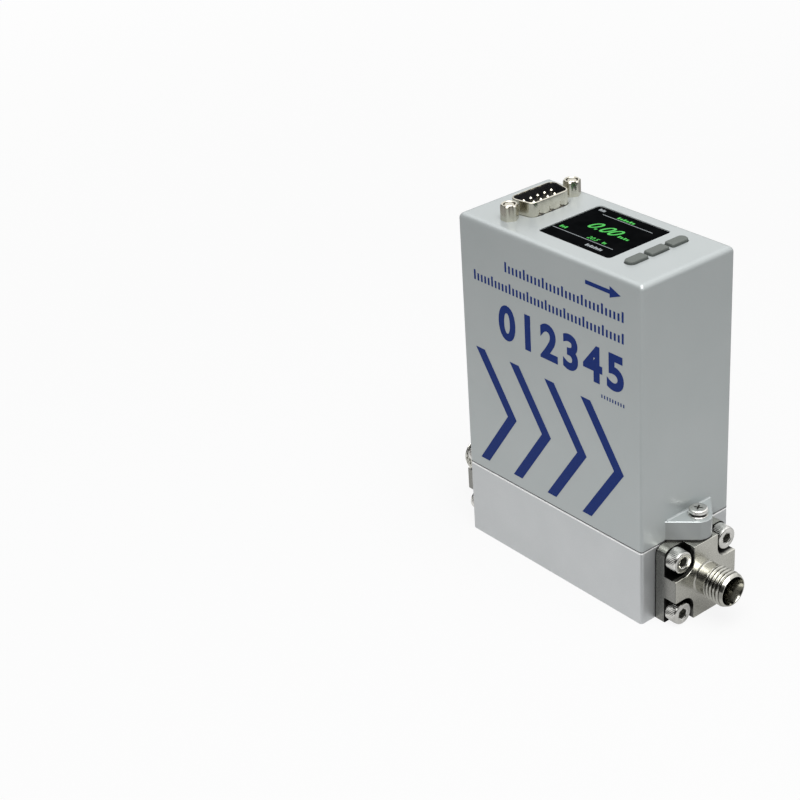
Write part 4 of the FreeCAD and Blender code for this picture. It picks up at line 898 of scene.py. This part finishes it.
def lugSeams():
    look = coverLook
    pieces = []
    for side in (-1, 1):
        x, low, seam, y = side * look["face"], look["low"], look["seam"], look["centre"] - look["half"]
        outline = [(x - side * 0.1 * mm, y, low - 0.1 * mm), (x + side * seam, y, low - 0.1 * mm),
                   (x + side * seam, y, low + 0.04 * mm), (x + side * seam * 0.45, y, low + seam * 0.28),
                   (x + side * seam * 0.16, y, low + seam * 0.62), (x + side * 0.03 * mm, y, low + seam),
                   (x - side * 0.1 * mm, y, low + seam)]
        pieces.append(plate("seam", outline, (0, 2 * look["half"], 0)))
    paint(settle(joined(pieces), "lugSeams"), "grey_paint")


# Front print: an arrow, two rows of marks and plain numbers

def plate(name, outline, rise):
    # a thin plate: the outline is drawn from point to point, filled and given its thickness
    clearSelection()
    points = [Vector(point) for point in outline]
    bpy.ops.mesh.primitive_plane_add(size=mm, location=points[0])
    piece = bpy.context.object
    piece.name = name
    bpy.ops.object.mode_set(mode="EDIT")
    bpy.ops.mesh.merge(type="CENTER")
    for here, there in zip(points, points[1:]):
        bpy.ops.mesh.extrude_region_move(TRANSFORM_OT_translate={"value": there - here})
    bpy.ops.mesh.select_all(action="SELECT")
    bpy.ops.mesh.edge_face_add()
    bpy.ops.mesh.extrude_region_move(TRANSFORM_OT_translate={"value": rise})
    mend(piece)
    bpy.ops.object.transform_apply(location=True, rotation=True, scale=True)
    return piece


def lettering(name, words, height, rise, weight, slant=0.0, stretch=1.0):
    # numbers as a mesh in the XY plane, centred and scaled to a height
    clearSelection()
    bpy.ops.object.text_add()
    piece = bpy.context.object
    piece.name = name
    piece.data.body = words
    piece.data.align_x = "CENTER"
    piece.data.offset = weight
    piece.data.shear = slant
    piece.data.resolution_u = 6
    bpy.ops.object.convert(target="MESH")
    spots = [spot.co for spot in piece.data.vertices]
    low = Vector([min(spot[axis] for spot in spots) for axis in range(3)])
    high = Vector([max(spot[axis] for spot in spots) for axis in range(3)])
    scale = (stretch * height / (high.y - low.y), height / (high.y - low.y), 1)
    piece.data.transform(Matrix.Diagonal((*scale, 1)) @ Matrix.Translation(-(low + high) / 2))
    bpy.ops.object.mode_set(mode="EDIT")
    bpy.ops.mesh.select_all(action="SELECT")
    bpy.ops.mesh.remove_doubles(threshold=0.001 * mm)
    bpy.ops.mesh.extrude_region_move(TRANSFORM_OT_translate={"value": (0, 0, rise)})
    mend(piece)
    return piece


printLook = {"face": -18.30 * mm, "rise": 0.05 * mm, "stroke": 0.72 * mm,
             "rows": [{"base": 96.9 * mm, "left": -17.2 * mm, "right": 30.3 * mm, "count": 31},
                      {"base": 90.3 * mm, "left": -31.0 * mm, "right": 30.3 * mm, "count": 41}],
             "long": 3.2 * mm, "short": 2.3 * mm, "each": 5,
             "numbers": "012345", "first": -17.4 * mm, "pitch": 8.95 * mm, "numberBase": 74.4 * mm,
             "numberHeight": 11.6 * mm, "weight": 0.034, "stretch": 0.95,
             "arrow": {"left": 15.9 * mm, "right": 29.6 * mm, "middle": 104.6 * mm, "shaft": 0.62 * mm,
                       "head": 1.75 * mm, "barb": 4.2 * mm},
             "footer": {"left": 22.0 * mm, "right": 30.6 * mm, "base": 70.4 * mm, "height": 1.1 * mm,
                        "count": 9, "stroke": 0.42 * mm}}


def onFront(x, z):
    return (x, printLook["face"], z)


def frontBar(left, right, low, high):
    corners = [onFront(left, low), onFront(right, low), onFront(right, high), onFront(left, high)]
    return plate("bar", corners, (0, -printLook["rise"], 0))


def tickRow(left, right, base, count, heights, stroke):
    # one tick of each height is drawn and then copied along the row
    models = {height: frontBar(-stroke / 2, stroke / 2, 0, height) for height in set(heights)}
    pieces = []
    for index in range(count):
        x = left + (right - left) * index / (count - 1)
        pieces.append(another(models[heights[index % len(heights)]], (x, 0, base)))
    for model in models.values():
        bpy.data.objects.remove(model)
    return pieces


def frontArrow():
    look = printLook["arrow"]
    middle, neck = look["middle"], look["right"] - look["barb"]
    outline = [(look["left"], middle - look["shaft"]), (neck, middle - look["shaft"]),
               (neck, middle - look["head"]),
               (look["right"], middle), (neck, middle + look["head"]), (neck, middle + look["shaft"]),
               (look["left"], middle + look["shaft"])]
    return plate("arrow", [onFront(*point) for point in outline], (0, -printLook["rise"], 0))


def frontNumbers():
    look = printLook
    pieces = []
    upright = Matrix.Rotation(math.pi / 2, 4, "X")
    for index, digit in enumerate(look["numbers"]):
        piece = lettering("number", digit, look["numberHeight"], look["rise"], look["weight"],
                          stretch=look["stretch"])
        middle = onFront(look["first"] + index * look["pitch"], look["numberBase"] + look["numberHeight"] / 2)
        piece.data.transform(Matrix.Translation(middle) @ upright)
        pieces.append(piece)
    return pieces


def frontPrint():
    look = printLook
    heights = [look["long"]] + [look["short"]] * (look["each"] - 1)
    pieces = [frontArrow()] + frontNumbers()
    for row in look["rows"]:
        pieces += tickRow(row["left"], row["right"], row["base"], row["count"], heights, look["stroke"])
    foot = look["footer"]
    pieces += tickRow(foot["left"], foot["right"], foot["base"], foot["count"], [foot["height"]],
                      foot["stroke"])
    marks = joined(pieces)
    paint(settle(marks, "frontMarks"), "blue_print")


print("front print")
frontPrint()

print("cover and plug")
cover()
footShadows()
lugSeams()
plugInnerShade()
dentGapShade()


# Display: black face and lit marks

displayLook = {"face": 109.62 * mm, "marks": 109.65 * mm, "top": 109.70 * mm,
               "line": 0.16 * mm,
               "lines": [(-5.2 * mm, 14.6 * mm, 9.5 * mm), (-9.9 * mm, 14.3 * mm, -6.0 * mm)],
               "reading": {"words": "0.00", "left": -2.2 * mm, "right": 8.4 * mm, "low": 0.3 * mm,
                           "high": 4.9 * mm, "weight": 0.006, "slant": 0.42},
               "second": {"words": "20.5", "left": 1.8 * mm, "right": 8.2 * mm, "low": -5.2 * mm,
                          "high": -3.6 * mm, "weight": 0.0, "slant": 0.3},
               "green": [(-0.2, 10.1, 6.8, 11.3, 6), (9.2, 0.8, 13.5, 2.0, 4), (-8.5, -4.8, -5.8, -3.4, 3),
                         (8.9, -5.1, 10.4, -3.9, 2)],
               "white": [(6.3, -9.1, 12.8, -7.8, 8), (-8.5, 10.9, -6.0, 12.2, 4)]}


def screenBar(left, low, right, high):
    level = displayLook["marks"]
    corners = [(left, low, level), (right, low, level), (right, high, level), (left, high, level)]
    return plate("bar", corners, (0, 0, displayLook["top"] - level))


def screenBlocks(spots):
    # short blocks where small words would stand
    pieces = []
    for left, low, right, high, count in spots:
        step = (right - left) / count
        for index in range(count):
            x = left + step * index
            rise = 0.25 * (high - low) * (index % 2)
            pieces.append(screenBar(x * mm, low * mm, (x + step * 0.62) * mm, (high - rise) * mm))
    return pieces


def screenNumber(look):
    piece = lettering("reading", look["words"], look["high"] - look["low"],
                      displayLook["top"] - displayLook["marks"], look["weight"], look["slant"])
    middle = ((look["left"] + look["right"]) / 2, (look["low"] + look["high"]) / 2, displayLook["marks"])
    piece.data.transform(Matrix.Translation(middle))
    return piece


def display():
    look = displayLook
    face = meshCopy("display_window", "displayFace")
    top = max(spot.co.z for spot in face.data.vertices)
    for spot in face.data.vertices:
        if spot.co.z > top - 0.01 * mm:
            spot.co.z = look["face"]
    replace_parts(paint(settle(face, "displayFace", flatten=True), "display_black"), "display_window")
    numbers = [screenNumber(look["reading"]), screenNumber(look["second"])]
    green = joined(numbers + screenBlocks(look["green"]))
    paint(settle(green, "greenMarks"), "display_black", greenGlow)
    half = look["line"] / 2
    lines = [screenBar(left, y - half, right, y + half) for left, right, y in look["lines"]]
    paint(settle(joined(lines + screenBlocks(look["white"])), "whiteMarks"), "display_black", whiteGlow)


print("display")
display()


print("camera, floor and light")
cameraLook = {"azimuth": 52.8414, "elevation": 28.6947, "roll": -4.0800, "distance": 542.895 * mm,
              "across": -57.9017 * mm, "up": -5.2887 * mm, "aim": Vector((0, 0, 60 * mm)),
              "focal": 1819.12 / 800}


def addCamera():
    azimuth = math.radians(cameraLook["azimuth"])
    elevation = math.radians(cameraLook["elevation"])
    back = Vector((math.sin(azimuth) * math.cos(elevation), -math.cos(azimuth) * math.cos(elevation),
                   math.sin(elevation)))
    right = Vector((math.cos(azimuth), math.sin(azimuth), 0))
    tilt = Matrix.Rotation(math.radians(cameraLook["roll"]), 3, back)
    right = tilt @ right
    up = back.cross(right)
    place = cameraLook["aim"] + cameraLook["distance"] * back
    place += cameraLook["across"] * right + cameraLook["up"] * up
    bpy.ops.object.camera_add(location=place)
    camera = bpy.context.object
    camera.rotation_euler = Matrix((right, up, back)).transposed().to_euler()
    camera.data.lens = camera.data.sensor_width * cameraLook["focal"]
    camera.data.clip_start = 10 * mm
    camera.data.clip_end = 100
    bpy.context.scene.camera = camera


stageLook = {"size": 12.0, "drop": 0.05 * mm, "floor": shade(208, 208, 208), "blend": 0.88,
             "clear": (0.25, 0.9), "table": (0.08, 0.26), "bright": 1.0, "dim": 0.04, "kept": 0.55,
             "shady": ((36, 42), (60, 100)), "shadow": 0.55, "faded": 0.08,
             "corner": ((40, 47), (80, 115), (12, 24), 0.85), "sky": 0.36, "high": (0.30, 0.56),
             "low": 0.03, "front": 0.45, "softbox": (0.56, 0.68), "extra": 0.45}


def seenBy(f, *names):
    path = f.tree.nodes.new("ShaderNodeLightPath")
    seen = [Wire(f, path.outputs[name]) for name in names]
    return sum(seen[1:], seen[0])


def addStage():
    # the camera sees white paper with the object's shadow; gloss sees a pale table that ends in the dark,
    # with painted shadows on it beside the flange and before its right corner
    look = stageLook
    bpy.ops.mesh.primitive_plane_add(size=look["size"], location=(0, 0, -look["drop"]))
    floor = bpy.context.object
    floor.name = floor.data.name = "floor"
    f = newFinish("floorPaper")
    f.tree.nodes.remove(f.tree.nodes["Principled BSDF"])
    spot = f.node("ShaderNodeTexCoord", output="Object")
    reach = f.length(spot)
    near, far = look["clear"]
    plain = f.span(reach, near, far, look["blend"], 1.0)
    near, far = look["table"]
    mirrored = f.span(reach, near, far, look["bright"], look["dim"])
    along = f.axis(spot, 0)
    (start, full), (fade, end) = look["shady"]
    dusk = f.span(along, start * mm, full * mm, 0, 1)
    dusk = dusk * f.span(along, fade * mm, end * mm, look["shadow"], look["faded"])
    mirrored = mirrored * (1 - dusk)
    # painted shadow seen in gloss: a darker patch of the floor in front of the flange's right corner
    (start, full), (fade, end), (line, deep), shadow = look["corner"]
    toward = f.axis(spot, 1) * -1
    corner = f.span(along, start * mm, full * mm, 0, shadow) * f.span(along, fade * mm, end * mm, 1, 0)
    mirrored = mirrored * (1 - corner * f.span(toward, line * mm, deep * mm, 0, 1))
    glossy = seenBy(f, "Is Glossy Ray")
    level = glossy * mirrored + (1 - glossy)
    factor = seenBy(f, "Is Camera Ray", "Is Transmission Ray") * plain + glossy * look["kept"]
    matt = f.node("ShaderNodeBsdfDiffuse", {}, {"Color": look["floor"]})
    white = f.node("ShaderNodeEmission", {}, {"Color": (1.0, 1.0, 1.0), "Strength": level})
    mixed = f.node("ShaderNodeMixShader", {}, {0: factor, 1: matt, 2: white})
    f.tree.links.new(mixed.socket, f.tree.nodes["Material Output"].inputs["Surface"])
    floor.data.materials.append(f.owner)


def addSky():
    look = stageLook
    world = bpy.data.worlds.new("studioRoom")
    bpy.context.scene.world = world
    f = Finish(world)
    direction = f.node("ShaderNodeTexCoord", output="Generated")
    height = f.axis(direction, 2)
    up = height + f.axis(direction, 1) * look["front"]
    low, high = look["high"]
    mirrored = f.span(up, low, high, look["low"], 1.0)
    mirrored = mirrored + f.span(height, *look["softbox"], 0.0, look["extra"])
    glossy = seenBy(f, "Is Glossy Ray")
    straight = seenBy(f, "Is Camera Ray", "Is Transmission Ray")
    level = straight + glossy * mirrored + (1 - straight - glossy) * look["sky"]
    f.feed(f.tree.nodes["Background"].inputs["Strength"], level)
    f.tree.nodes["Background"].inputs["Color"].default_value = (1, 1, 1, 1)


lampLook = {"overhead": {"place": (0.30, -0.24, 1.28), "aim": (0, 0, 0.05), "size": 1.2, "power": 21.0}}


def addLamps():
    for name, look in lampLook.items():
        place, aim = Vector(look["place"]), Vector(look["aim"])
        bpy.ops.object.light_add(type="AREA", location=place)
        lamp = bpy.context.object
        lamp.name = lamp.data.name = name
        lamp.rotation_euler = (place - aim).to_track_quat("Z", "Y").to_euler()
        lamp.data.size = look["size"]
        lamp.data.energy = look["power"]


addCamera()
addStage()
addSky()
addLamps()
bpy.context.scene.view_settings.view_transform = "Standard"
